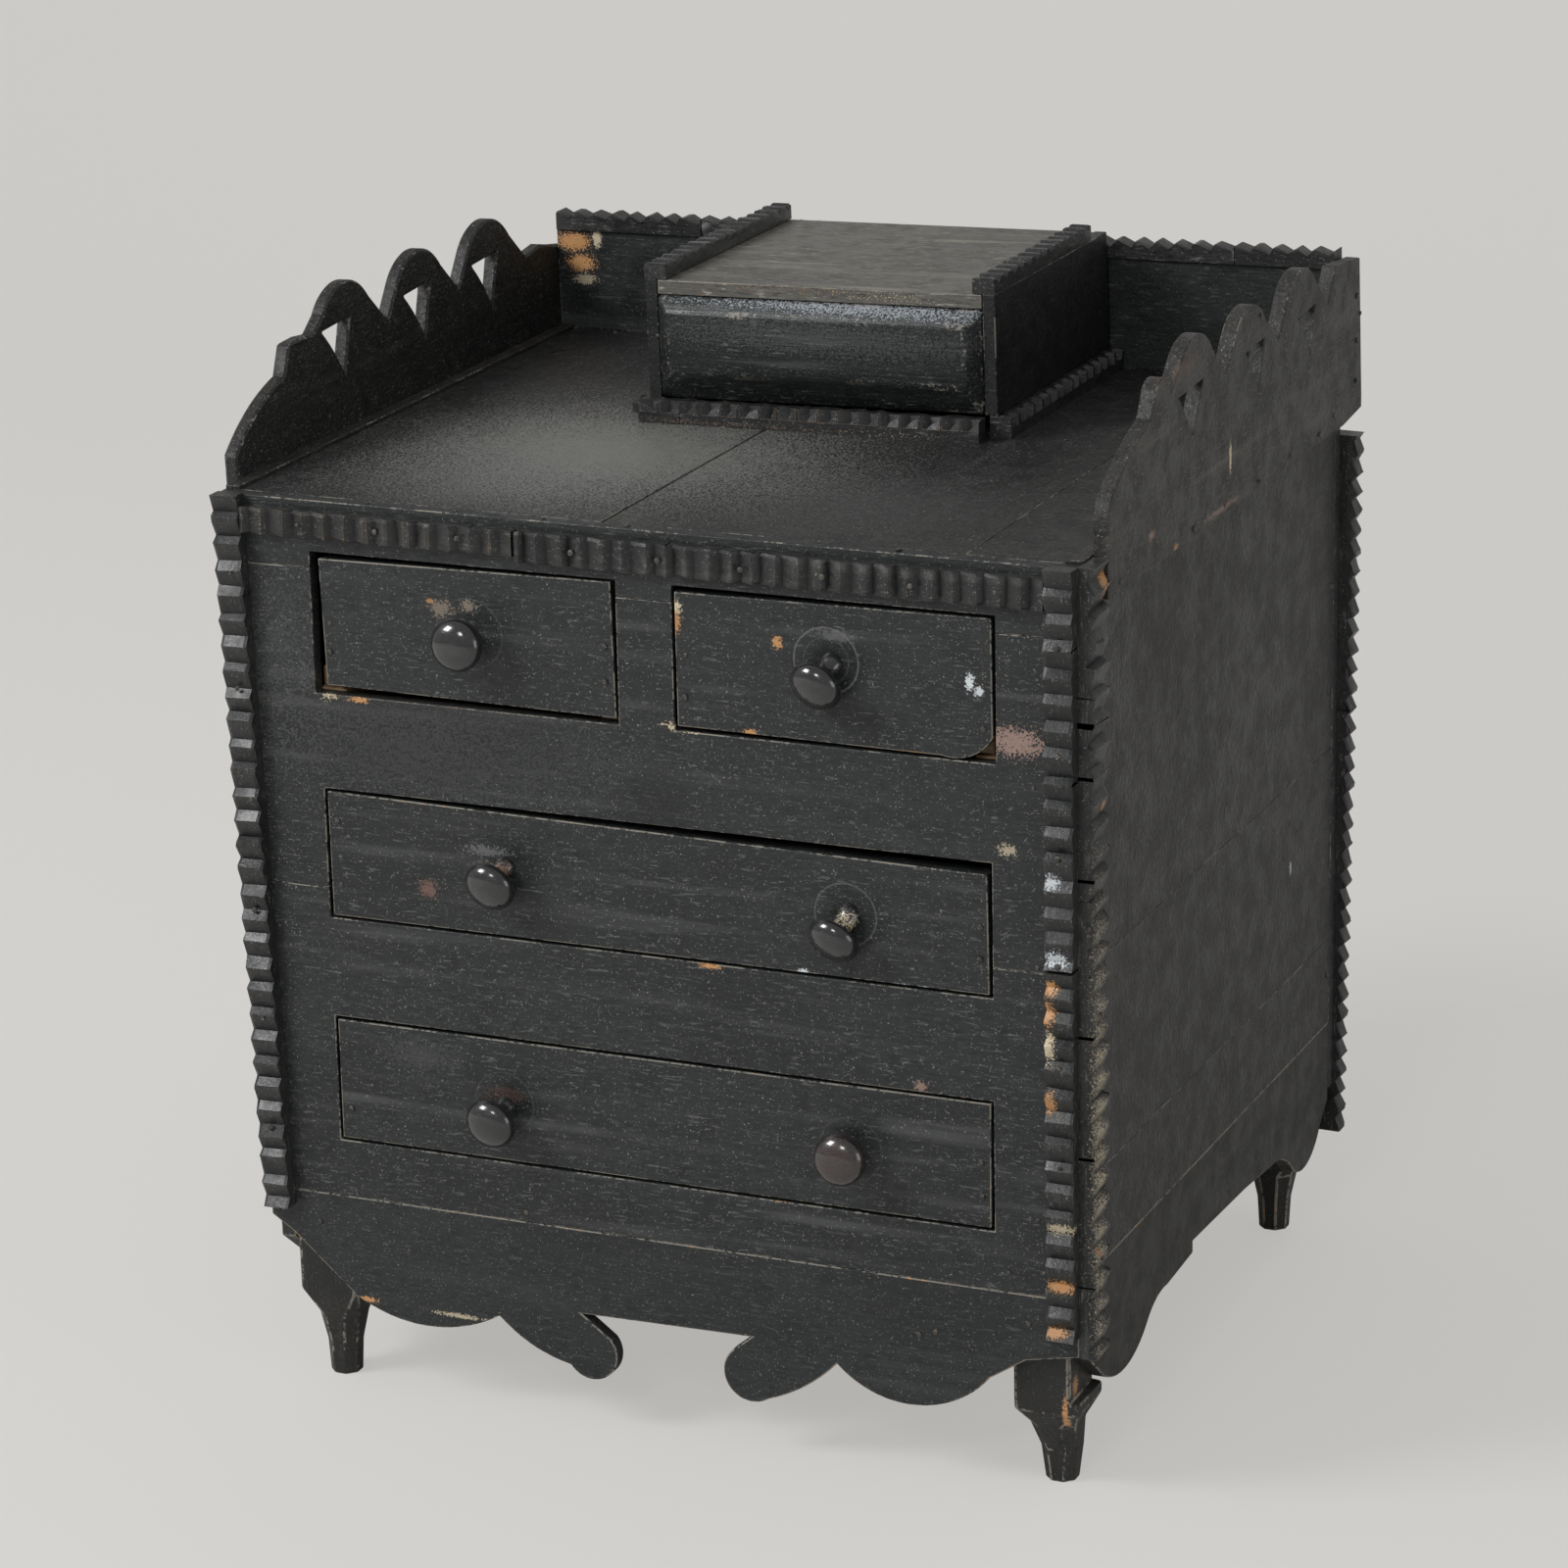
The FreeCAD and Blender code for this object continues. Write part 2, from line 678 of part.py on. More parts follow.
# Strips up the rear corners, nailed on behind the back and standing out past the sides; both
# lean outwards.
def rear_strips():
    bottom = "sizes.rear_strip_bottom"
    length = f"{GALLERY_BOTTOM} - sizes.rear_strip_short - {bottom}"
    inner = "sizes.rear_strip - sizes.rear_strip_stand_out"
    outward = FreeCAD.Rotation(BACKWARD, size("rear_strip_lean_degrees"))
    for side, turn in [("left", UPWARD_FACING_LEFT), ("right", UPWARD_FACING_RIGHT)]:
        name = f"rear_strip_{side}"
        strip = notched_strip(
            name, length, "sizes.rear_strip_width", "sizes.rear_strip", "fine_pitch", "notch_depth"
        )
        if side == "left":
            place_leaning(strip, inner, REAR_Y, bottom, turn)
        else:
            rear_edge = f"{REAR_Y} + sizes.rear_strip_width"
            place(strip, f"{RIGHT_X} - ({inner})", rear_edge, bottom, outward * turn)
        keep(strip, name)


# The cap strip lies on the sloping top of the back gallery.
def cap_strip():
    low_end = worth(TOP) + size("back_gallery_left")
    left = leaning_edge(low_end)
    run = size("case_width") / 2 - left
    slope = math.degrees(math.atan((size("back_gallery_right") - size("back_gallery_left")) / run))
    climb = FreeCAD.Rotation(BACKWARD, -slope)
    length = f"{run} / cos({slope}) - 2 * sizes.cap_inset"
    width = "sizes.cap_width"
    strip = notched_strip("back_cap_strip", length, width, "sizes.cap_height", "fine_pitch", "notch_depth")
    x = f"{left} + sizes.cap_inset * cos({slope})"
    overhang = f"({width} - sizes.back_board) / 2"
    z = f"{TOP} + sizes.back_gallery_left + sizes.cap_inset * sin({slope})"
    keep(place(strip, x, f"{BACK_Y} - {overhang}", z, climb), "back_cap_strip")


# Small box: it stands on its notched base strips, lower at the left. Between the two sides are
# a thick pillowed front, a floor and a back; the lid slides forward over them, held down by two
# notched strips nailed along the tops of the sides.
BOX_LEFT = "(sizes.box_centre - sizes.box_width / 2)"
BOX_RIGHT = "(sizes.box_centre + sizes.box_width / 2)"
BOX_BACK = f"({BACK_Y} - sizes.box_back_gap)"
BOX_FRONT = f"({BOX_BACK} - sizes.box_depth)"
BOX_INSIDE = "(sizes.box_width - 2 * sizes.box_side)"
LID_SEAT = "(sizes.box_height - sizes.box_lid - sizes.lid_gap)"
WALL_HEIGHT = f"{LID_SEAT} - sizes.lid_gap"
BOX_BEARING = "(sizes.base_strip_width - sizes.base_strip_reveal)"
BOX_TILT = FreeCAD.Rotation(BACKWARD, -size("box_tilt_degrees"))
TILT_SINE = "sin(sizes.box_tilt_degrees)"
BOX_FOOT = f"({TOP} + sizes.base_strip + {BOX_BEARING} * {TILT_SINE})"


# The box turns about the lower outer edge of its right side: "out" runs from that edge towards
# the left, "up" along the side.
def place_in_box(piece, out, y, up, turn=UPRIGHT):
    cosine = "cos(sizes.box_tilt_degrees)"
    x = f"{BOX_RIGHT} - ({out}) * {cosine} - ({up}) * {TILT_SINE}"
    z = f"{BOX_FOOT} - ({out}) * {TILT_SINE} + ({up}) * {cosine}"
    return place(piece, x, y, z, BOX_TILT * turn)


def top_box():
    inner_left = "sizes.box_width - sizes.box_side"
    for side, out in [("left", "sizes.box_width"), ("right", "sizes.box_side")]:
        board = block(f"box_side_{side}", "sizes.box_side", "sizes.box_depth", "sizes.box_height")
        keep(place_in_box(board, out, BOX_FRONT, "0"), f"box_side_{side}")
    back = block("box_back", BOX_INSIDE, "sizes.box_side", WALL_HEIGHT)
    keep(place_in_box(back, inner_left, f"{BOX_BACK} - sizes.box_side", "0"), "box_back")
    floor_board = block(
        "box_floor", BOX_INSIDE, "sizes.box_depth - sizes.box_block - sizes.box_side", "sizes.box_floor"
    )
    keep(place_in_box(floor_board, inner_left, f"{BOX_FRONT} + sizes.box_block", "0"), "box_floor")
    pillow_front(inner_left)
    lid = block("box_lid", f"{BOX_INSIDE} - 2 * sizes.lid_gap", "sizes.box_depth", "sizes.box_lid")
    keep(place_in_box(lid, f"{inner_left} - sizes.lid_gap", BOX_FRONT, LID_SEAT), "box_lid")
    strips = []
    spans = {
        "left": ("sizes.box_width - sizes.lid_strip_width", "sizes.box_depth"),
        "right": ("0", "sizes.box_depth - sizes.lid_strip_short"),
    }
    for side, (out, length) in spans.items():
        strip = notched_strip(
            f"lid_strip_{side}",
            length,
            "sizes.lid_strip_width",
            "sizes.lid_strip",
            "fine_pitch",
            "fine_depth",
        )
        strips.append(place_in_box(strip, out, BOX_FRONT, "sizes.box_height", BACKWARD_FACING_UP))
    pair = doc.addObject("Part::Compound", "lid_strips")
    pair.Links = strips
    keep(pair, "lid_strips")


# The box front is a thick block between the sides, its four edges bevelled to a pillow.
def pillow_front(inner_left):
    height = size("box_height") - size("box_lid") - 2 * size("lid_gap")
    width = size("box_width") - 2 * size("box_side")
    rise = size("pillow_rise")
    plank = block("box_front_plank", BOX_INSIDE, "sizes.box_block", WALL_HEIGHT)
    pillow = doc.addObject("Part::Wedge", "box_front_pillow")
    pillow.Ymin = -rise
    pillow.Ymax = 0
    pillow.Xmin = rise
    pillow.Xmax = width - rise
    pillow.Zmin = size("pillow_bottom_bevel")
    pillow.Zmax = height - rise
    pillow.X2min = 0
    pillow.X2max = width
    pillow.Z2min = 0
    pillow.Z2max = height
    front = doc.addObject("Part::Fuse", "box_front")
    front.Base = plank
    front.Tool = pillow
    keep(place_in_box(front, inner_left, BOX_FRONT, "0"), "box_front")


# Base strips with the notches cut on their upper outer arris. The side ones carry the box, the
# left one thinner by the tilt; the front one lies between them, nailed on a little askew.
def base_strips():
    width = "sizes.base_strip_width"
    skew = FreeCAD.Rotation(UP, size("base_strip_skew"))
    front_length = "(sizes.box_width + 2 * sizes.base_strip_reveal - 2 * sizes.base_strip_width - 1)"
    height = "sizes.base_strip"
    front = notched_strip(
        "base_strip_front", front_length, width, height, "fine_pitch", "arris_notch", arris=True
    )
    front_x = f"{BOX_LEFT} - sizes.base_strip_reveal + {width} + 0.7"
    keep(place(front, front_x, f"{BOX_FRONT} - sizes.base_strip_forward", TOP, skew), "base_strip_front")
    drop = f"(sizes.box_width - {BOX_BEARING}) * {TILT_SINE}"
    left = notched_strip(
        "base_strip_left",
        "sizes.box_depth + sizes.base_strip_lead",
        width,
        f"{height} - {drop}",
        "fine_pitch",
        "arris_notch",
        arris=True,
    )
    right = notched_strip(
        "base_strip_right", "sizes.box_depth", width, height, "fine_pitch", "arris_notch", arris=True
    )
    place(left, f"{BOX_LEFT} - sizes.base_strip_reveal", BOX_BACK, TOP, BACKWARD_FACING_LEFT)
    place(right, f"{BOX_RIGHT} + sizes.base_strip_reveal", BOX_FRONT, TOP, BACKWARD_FACING_UP)
    pair = doc.addObject("Part::Compound", "base_strips_side")
    pair.Links = [left, right]
    keep(pair, "base_strips_side")


# Work cut in flat facets: a closed solid between rings with the same number of points, listed
# from the top ring down, each ring counterclockwise from above.
def facetted(name, rings):
    faces = flat_faces(rings[0]) + flat_faces(rings[-1][::-1])
    for upper, lower in zip(rings, rings[1:]):
        for side in range(len(upper)):
            following = (side + 1) % len(upper)
            faces += flat_faces([upper[side], lower[side], lower[following], upper[following]])
    solid = Part.Solid(Part.Shell(faces))
    piece = doc.addObject("Part::Feature", name)
    piece.Shape = solid
    return piece


def flat_faces(corners):
    loop = Part.makePolygon(corners + corners[:1])
    if len(corners) != 4 or loop.findPlane(1e-6):
        return [Part.Face(loop)]
    halves = [corners[:3] + corners[:1], corners[2:] + [corners[0], corners[2]]]
    return [Part.Face(Part.makePolygon(half)) for half in halves]


# Feet: square blocks nailed into the inner corners and whittled below the aprons to an eight-
# sided tip. The front right one is thicker below its apron and its tip is set back.
def feet():
    width = size("foot_width")
    tip = size("foot_tip")
    shoulder = size("foot_shoulder")
    left = f"{leaning_edge(size('side_apron_bottom'))} + sizes.board + 0.1"
    right = f"{RIGHT_X} - sizes.board - sizes.foot_width"
    plain = [
        (size("foot_block_top"), (0.0, 0.0), (width, width), 1.0),
        (shoulder, (0.0, 0.0), (width, width), 1.5),
        (0.68 * shoulder, (0.15 * width, 0.15 * width), (0.85 * width, 0.85 * width), 5.0),
        (0.36 * shoulder, (0.24 * width, 0.24 * width), (0.76 * width, 0.76 * width), 4.0),
        (0.0, ((width - tip) / 2, (width - tip) / 2), ((width + tip) / 2, (width + tip) / 2), 3.7),
    ]
    out = size("spread_foot_out")
    deep = width + size("spread_foot_back")
    wide = width + out
    tip_x = wide - 0.49 * width - tip / 2
    tip_y = deep - 0.41 * width - tip / 2
    waist = ((out + 0.13 * width, 0.16 * width), (wide - 0.15 * width, deep - 0.14 * width))
    ankle = ((tip_x - 1.5, tip_y - 1.5), (tip_x + tip + 1.5, tip_y + tip + 1.5))
    spread = [
        (size("foot_block_top"), (out, 0.0), (width, width), 1.0),
        (shoulder + 1.0, (out, 0.0), (width, width), 1.0),
        (shoulder - 1.0, (out, 0.0), (wide, deep), 1.2),
        (0.88 * shoulder, (out, 0.0), (wide, deep), 1.5),
        (0.68 * shoulder, *waist, 5.0),
        (0.36 * shoulder, *ankle, 4.0),
        (0.0, (tip_x, tip_y), (tip_x + tip, tip_y + tip), 3.7),
    ]
    spots = {
        "foot_front_left": (left, "sizes.board", plain),
        "foot_front_right": (right, "sizes.board", spread),
        "foot_rear_left": (left, f"{BACK_Y} - sizes.foot_width", plain),
        "foot_rear_right": (right, f"{BACK_Y} - sizes.foot_width", plain),
    }
    for name, (x, y, stations) in spots.items():
        foot = facetted(name, [octagon(*station) for station in stations])
        keep(place(foot, x, y, "0"), name)


def octagon(height, low, high, corner):
    (left, front), (right, back) = low, high
    outline = [(left + corner, front), (right - corner, front), (right, front + corner)]
    outline += [(right, back - corner), (right - corner, back), (left + corner, back)]
    outline += [(left, back - corner), (left, front + corner)]
    return [FreeCAD.Vector(x, y, height) for x, y in outline]


# Drawers: a front that fills its opening, a nailed tray behind it and turned knobs. The fronts
# were cut by eye: each corner stands in from the opening's corner by its own gap, given for the
# top left, top right, low right and low left. A knob is (side of the opening, distance from it,
# height over the sill, droop, swing aside).
DRAWERS = {
    "drawer_small_left": {
        "opening": "left",
        "sill": SMALL_SILL,
        "height": "small_opening_height",
        "gaps": [(3.8, 2.6), (2.2, 0.9), (1.0, 2.4), (5.6, 3.8)],
        "knobs": [("left", 70.2, 29.5, 0.0, 0.0)],
    },
    "drawer_small_right": {
        "opening": "right",
        "sill": SMALL_SILL,
        "height": "small_opening_height",
        "gaps": [(1.2, 2.4), (1.6, 1.2), (1.2, 1.2), (1.4, 2.0)],
        "knobs": [("left", 66.7, 32.5, 28.0, 12.0)],
    },
    "drawer_middle": {
        "opening": "wide",
        "sill": MIDDLE_SILL,
        "height": "middle_opening_height",
        "gaps": [(1.2, 1.2), (2.0, 5.0), (1.4, 1.2), (1.6, 1.2)],
        "knobs": [("left", 79.7, 29.7, 22.0, 6.0), ("right", 60.3, 26.2, 34.0, 14.0)],
    },
    "drawer_bottom": {
        "opening": "wide",
        "sill": BOTTOM_SILL,
        "height": "bottom_opening_height",
        "gaps": [(1.2, 1.4), (1.2, 1.2), (1.4, 1.2), (1.2, 1.2)],
        "knobs": [("left", 76.2, 23.7, 14.0, 6.0), ("right", 60.8, 26.2, 0.0, 0.0)],
    },
}


def drawers():
    edges = opening_edges()
    for name, drawer in DRAWERS.items():
        left, right = edges[drawer["opening"]]
        sill = worth(drawer["sill"])
        drawer_front(name, drawer["gaps"], left, right, sill, sill + size(drawer["height"]))
        drawer_tray(name, left, right, drawer["sill"], f"sizes.{drawer['height']}")
        spots = []
        for side, distance, rise, droop, aside in drawer["knobs"]:
            x = left + distance if side == "left" else right - distance
            spots.append((x, sill + rise, droop, aside))
        knobs(name, spots)


def drawer_front(name, gaps, left, right, sill, head):
    top_left = (left + gaps[0][0], head - gaps[0][1])
    top_right = (right - gaps[1][0], head - gaps[1][1])
    low_right = (right - gaps[2][0], sill + gaps[2][1])
    low_left = (left + gaps[3][0], sill + gaps[3][1])
    steps = [top_right, low_right, low_left]
    if name == "drawer_small_right":
        worn = (low_right[0] - 21.0, low_right[1])
        steps = [top_right, (low_right[0], low_right[1] + 9.0)]
        steps += [((low_right[0] - 4.5, low_right[1] + 3.6), worn), low_left]
    body = shaped_board(f"{name}_front", "XZ_Plane", top_left, steps, "sizes.drawer_front")
    keep(place(body, "0", "0", "0"), f"{name}_front")


def drawer_tray(name, left, right, sill, height):
    width = f"{right - left} - 2 * sizes.tray_gap"
    x = f"{left} + sizes.tray_gap"
    floor_z = f"{sill} + sizes.tray_lift"
    length = "sizes.case_depth - sizes.drawer_stop - sizes.drawer_front"
    bottom = block(f"{name}_bottom", width, length, "sizes.drawer_floor")
    keep(place(bottom, x, "sizes.drawer_front", floor_z), f"{name}_bottom")
    wall_height = f"{height} - sizes.drawer_headroom - sizes.drawer_floor"
    wall_z = f"{floor_z} + sizes.drawer_floor"
    walls = []
    for side, offset in [("left", "0"), ("right", f"{width} - sizes.drawer_wall")]:
        wall = block(f"{name}_wall_{side}", "sizes.drawer_wall", length, wall_height)
        walls.append(place(wall, f"{x} + {offset}", "sizes.drawer_front", wall_z))
    rear = block(f"{name}_wall_back", f"{width} - 2 * sizes.drawer_wall", "sizes.drawer_wall", wall_height)
    rear_y = "sizes.case_depth - sizes.drawer_stop - sizes.drawer_wall"
    walls.append(place(rear, f"{x} + sizes.drawer_wall", rear_y, wall_z))
    tray = doc.addObject("Part::Compound", f"{name}_walls")
    tray.Links = walls
    keep(tray, f"{name}_walls")


# A mushroom knob on a short stem. It is turned work, and its rings have enough flats to stay
# within a tenth of a millimetre of round. A loose one droops and swings aside; its stem is then
# cut flush with the drawer front that it rests on.
KNOB_FLATS = 24


def knobs(drawer, spots):
    stem = size("stem_radius")
    radius = size("knob_radius")
    neck = size("stem_length")
    rim = neck + size("knob_rim")
    crown = neck + size("knob_head")
    turned = []
    for index, (x, z, droop, aside) in enumerate(spots):
        name = f"{drawer}_knob_{index + 1}"
        root = -0.7 * neck if droop else 0.0
        rings = [
            (0.25 * radius, crown),
            (0.62 * radius, rim + 0.78 * (crown - rim)),
            (0.92 * radius, rim + 0.35 * (crown - rim)),
            (radius, rim),
            (0.92 * radius, neck + 0.25 * size("knob_rim")),
            (1.3 * stem, neck),
            (0.9 * stem, 0.5 * neck),
            (1.2 * stem, root),
        ]
        turning = facetted(name + "_turning", [knob_ring(*ring) for ring in rings])
        forward = FreeCAD.Rotation(ACROSS, 90)
        sag = FreeCAD.Rotation(ACROSS, droop)
        swing = FreeCAD.Rotation(UP, -aside)
        place(turning, f"{x}", "0", f"{z}", swing * sag * forward)
        if droop:
            turned.append(cut_at_front(turning, name, x, z))
        else:
            turned.append(turning)
    if len(turned) == 1:
        keep(turned[0], f"{drawer}_knob")
        return
    pair = doc.addObject("Part::Compound", f"{drawer}_knobs")
    pair.Links = turned
    keep(pair, f"{drawer}_knobs")


def knob_ring(radius, along):
    turns = [2 * math.pi * step / KNOB_FLATS for step in range(KNOB_FLATS)]
    return [FreeCAD.Vector(radius * math.cos(turn), radius * math.sin(turn), along) for turn in turns]


def cut_at_front(turning, name, x, z):
    plane = block(f"{name}_front_plane", "60", "30", "60")
    place(plane, f"{x} - 30", "0", f"{z} - 30")
    knob = doc.addObject("Part::Cut", name)
    knob.Base = turning
    knob.Tool = plane
    return knob


# Under each edge of a drawer a bearing strip runs from the front boards to the back, with a
# guide strip nailed on it beside the drawer.
def runners():
    edges = opening_edges()
    strips = []
    for name, drawer in DRAWERS.items():
        left, right = edges[drawer["opening"]]
        guide_z = f"{drawer['sill']} + sizes.tray_lift - sizes.running_gap"
        bearing_z = f"{guide_z} - sizes.runner_height"
        margin = "sizes.tray_gap - sizes.running_gap"
        near = f"{left} + {margin} - sizes.guide_width"
        far = f"{right} - ({margin})"
        length = f"{BACK_Y} - sizes.board"
        for side, bearing_x, guide_x in [
            ("left", near, near),
            ("right", f"{far} + sizes.guide_width - sizes.runner_width", far),
        ]:
            bearing = block(f"{name}_bearing_{side}", "sizes.runner_width", length, "sizes.runner_height")
            strips.append(place(bearing, bearing_x, "sizes.board", bearing_z))
            guide_start = "sizes.drawer_front + 1"
            guide_length = f"{BACK_Y} - ({guide_start})"
            guide = block(f"{name}_guide_{side}", "sizes.guide_width", guide_length, "sizes.guide_height")
            strips.append(place(guide, guide_x, guide_start, guide_z))
    rack = doc.addObject("Part::Compound", "drawer_runners")
    rack.Links = strips
    keep(rack, "drawer_runners")


front_boards()
front_apron()
side_boards()
back_boards()
top_boards()
gallery()
front_strips()
side_strips()
top_strips()
rear_strips()
cap_strip()
top_box()
base_strips()
feet()
drawers()
runners()
doc.recompute()


# The footprint is centred on the origin by moving every piece by the two shifts in the sheet.
def solid_box():
    whole = FreeCAD.BoundBox()
    for piece in nodes:
        whole.add(piece.Shape.optimalBoundingBox(False))
    return whole


whole = solid_box()
sheet.set(sheet.getCellFromAlias("centre_shift_x"), str(round(-whole.Center.x, 4)))
sheet.set(sheet.getCellFromAlias("centre_shift_y"), str(round(-whole.Center.y, 4)))
doc.recompute()

for item in doc.Objects:
    if "Invalid" in item.State or "Error" in item.State:
        raise RuntimeError(f"{item.Label} did not recompute")
for piece in nodes:
    if piece.Shape.isNull() or not piece.Shape.isValid():
        raise RuntimeError(f"{piece.Label} has no valid solid")
    if len(piece.Shape.Solids) == 0:
        raise RuntimeError(f"{piece.Label} holds no solid")

for piece in nodes:
    piece.Shape.exportStep(f"parts/{piece.Label}.step")
whole = solid_box()
reach = (whole.XMin, whole.XMax, whole.YMin, whole.YMax, whole.ZMax)
print(len(nodes), "nodes", [round(value, 2) for value in reach])
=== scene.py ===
import json
import math
import random

import bmesh
import bpy
from mathutils import Matrix, Vector


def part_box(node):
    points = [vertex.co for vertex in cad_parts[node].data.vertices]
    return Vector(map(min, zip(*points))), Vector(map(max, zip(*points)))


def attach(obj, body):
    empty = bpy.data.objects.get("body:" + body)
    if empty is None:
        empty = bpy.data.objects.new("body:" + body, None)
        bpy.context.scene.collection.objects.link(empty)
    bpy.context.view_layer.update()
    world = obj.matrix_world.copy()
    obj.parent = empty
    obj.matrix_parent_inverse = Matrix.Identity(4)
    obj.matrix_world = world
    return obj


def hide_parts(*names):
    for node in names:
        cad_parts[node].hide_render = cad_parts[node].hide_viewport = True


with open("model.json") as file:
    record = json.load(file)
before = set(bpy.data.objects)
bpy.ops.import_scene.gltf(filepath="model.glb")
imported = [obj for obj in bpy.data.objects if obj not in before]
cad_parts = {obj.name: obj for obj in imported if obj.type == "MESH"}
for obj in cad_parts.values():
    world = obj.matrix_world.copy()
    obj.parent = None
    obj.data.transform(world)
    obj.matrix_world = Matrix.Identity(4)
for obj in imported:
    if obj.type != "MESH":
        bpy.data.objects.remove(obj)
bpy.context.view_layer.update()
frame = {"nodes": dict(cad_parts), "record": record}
nodes = frame["nodes"]
bodies = frame["record"]["behaviour"]["bodies"]

# Front of the carcass: a top rail and two wide boards of quarter-inch softwood, sawn out round
# the drawers and nailed to the edges of the sides. One brushed coat of black paint has sunk into
# the grain, which runs across, and is rubbed off along the sawn edges.
BOARD_ARRIS = 0.00045
PAINT_BLACK = (0.0150, 0.0172, 0.0172, 1)
PAINT_SUNKEN = (0.0045, 0.0052, 0.0055, 1)
PAINT_RUBBED = (0.115, 0.122, 0.116, 1)
EDGE_RUBBED = (0.20, 0.185, 0.155, 1)
BARE_WOOD = (0.50, 0.255, 0.10, 1)
DUST = (0.30, 0.30, 0.28, 1)
GRAIN_LINES = 900.0
STREAK_LINES = GRAIN_LINES / 7
GRAIN_STRETCH = 0.045
CLOUD_CELLS, MOTTLE_CELLS, SPECK_CELLS = 13.0, 75.0, 1300.0
DASH_CELLS, DASH_LENGTH = 820.0, 0.14
CRACKLE_CELLS = 430.0
LONG_WEAR_CELLS, SHORT_WEAR_CELLS = 45.0, 500.0
HOLLOW_SHADE = 0.9
CHIP_SINK, RING_SINK = -0.5, -1.5
RING_REACH, RING_RAGGED = 6.0, 0.35
WELD = 1e-6
FLAT_ANGLE, SMOOTH_ANGLE, SHARP_ANGLE = (math.radians(value) for value in (0.5, 12, 20))
CASE_HALF_WIDTH = 0.18
BOARD = 0.0065

low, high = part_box("side_right_upper")
CASE_FOOT = Vector((high.x - CASE_HALF_WIDTH, low.y - BOARD, 0))


def on_case(x, y, z):
    """Millimetres from the middle of the front's face, at floor level, to metres in the frame."""
    return CASE_FOOT + Vector((x, y, z)) / 1000


def wired(tree, kind, sockets, **settings):
    """Adds a node; each socket gets a plain value or a link from another node's output."""
    node = tree.nodes.new(kind)
    for name, value in settings.items():
        setattr(node, name, value)
    for name, value in sockets.items():
        if isinstance(value, bpy.types.NodeSocket):
            tree.links.new(value, node.inputs[name])
        else:
            node.inputs[name].default_value = value
    return node


def math_node(tree, operation, first, second=0.0, third=0.0):
    sockets = {0: first, 1: second, 2: third}
    return wired(tree, "ShaderNodeMath", sockets, operation=operation).outputs[0]


def plus(tree, first, second):
    return math_node(tree, "ADD", first, second)


def minus(tree, first, second):
    return math_node(tree, "SUBTRACT", first, second)


def times(tree, first, second):
    return math_node(tree, "MULTIPLY", first, second)


def times_plus(tree, first, second, third):
    return math_node(tree, "MULTIPLY_ADD", first, second, third)


def vector_math(tree, operation, first, second):
    return wired(tree, "ShaderNodeVectorMath", {0: first, 1: second}, operation=operation).outputs[0]


def between(tree, value, low, high, to_low=0.0, to_high=1.0):
    """Smooth step of a value from one range to another."""
    sockets = {"Value": value, "From Min": low, "From Max": high, "To Min": to_low, "To Max": to_high}
    return wired(tree, "ShaderNodeMapRange", sockets, interpolation_type="SMOOTHSTEP").outputs["Result"]


def mixed(tree, factor, first, second):
    node = wired(tree, "ShaderNodeMix", {}, data_type="RGBA")
    spots = {
        "Factor": next(spot for spot in node.inputs if spot.name == "Factor" and spot.type == "VALUE"),
        "A": next(spot for spot in node.inputs if spot.name == "A" and spot.type == "RGBA"),
        "B": next(spot for spot in node.inputs if spot.name == "B" and spot.type == "RGBA"),
    }
    for name, value in {"Factor": factor, "A": first, "B": second}.items():
        if isinstance(value, bpy.types.NodeSocket):
            tree.links.new(value, spots[name])
        else:
            spots[name].default_value = value
    return next(spot for spot in node.outputs if spot.type == "RGBA")


NUMBER = "NodeSocketFloat"
COLOUR = "NodeSocketColor"
VECTOR = "NodeSocketVector"


def new_group(name, inputs, outputs):
    group = bpy.data.node_groups.new(name, "ShaderNodeTree")
    for label, (kind, value) in inputs.items():
        group.interface.new_socket(label, in_out="INPUT", socket_type=kind).default_value = value
    for label, kind in outputs.items():
        group.interface.new_socket(label, in_out="OUTPUT", socket_type=kind)
    return group, group.nodes.new("NodeGroupInput").outputs, group.nodes.new("NodeGroupOutput").inputs


def noise(tree, vector, scale, detail=2.0, roughness=0.5, distortion=0.0):
    sockets = {
        "Vector": vector,
        "Scale": scale,
        "Detail": detail,
        "Roughness": roughness,
        "Distortion": distortion,
    }
    return wired(tree, "ShaderNodeTexNoise", sockets).outputs["Fac"]


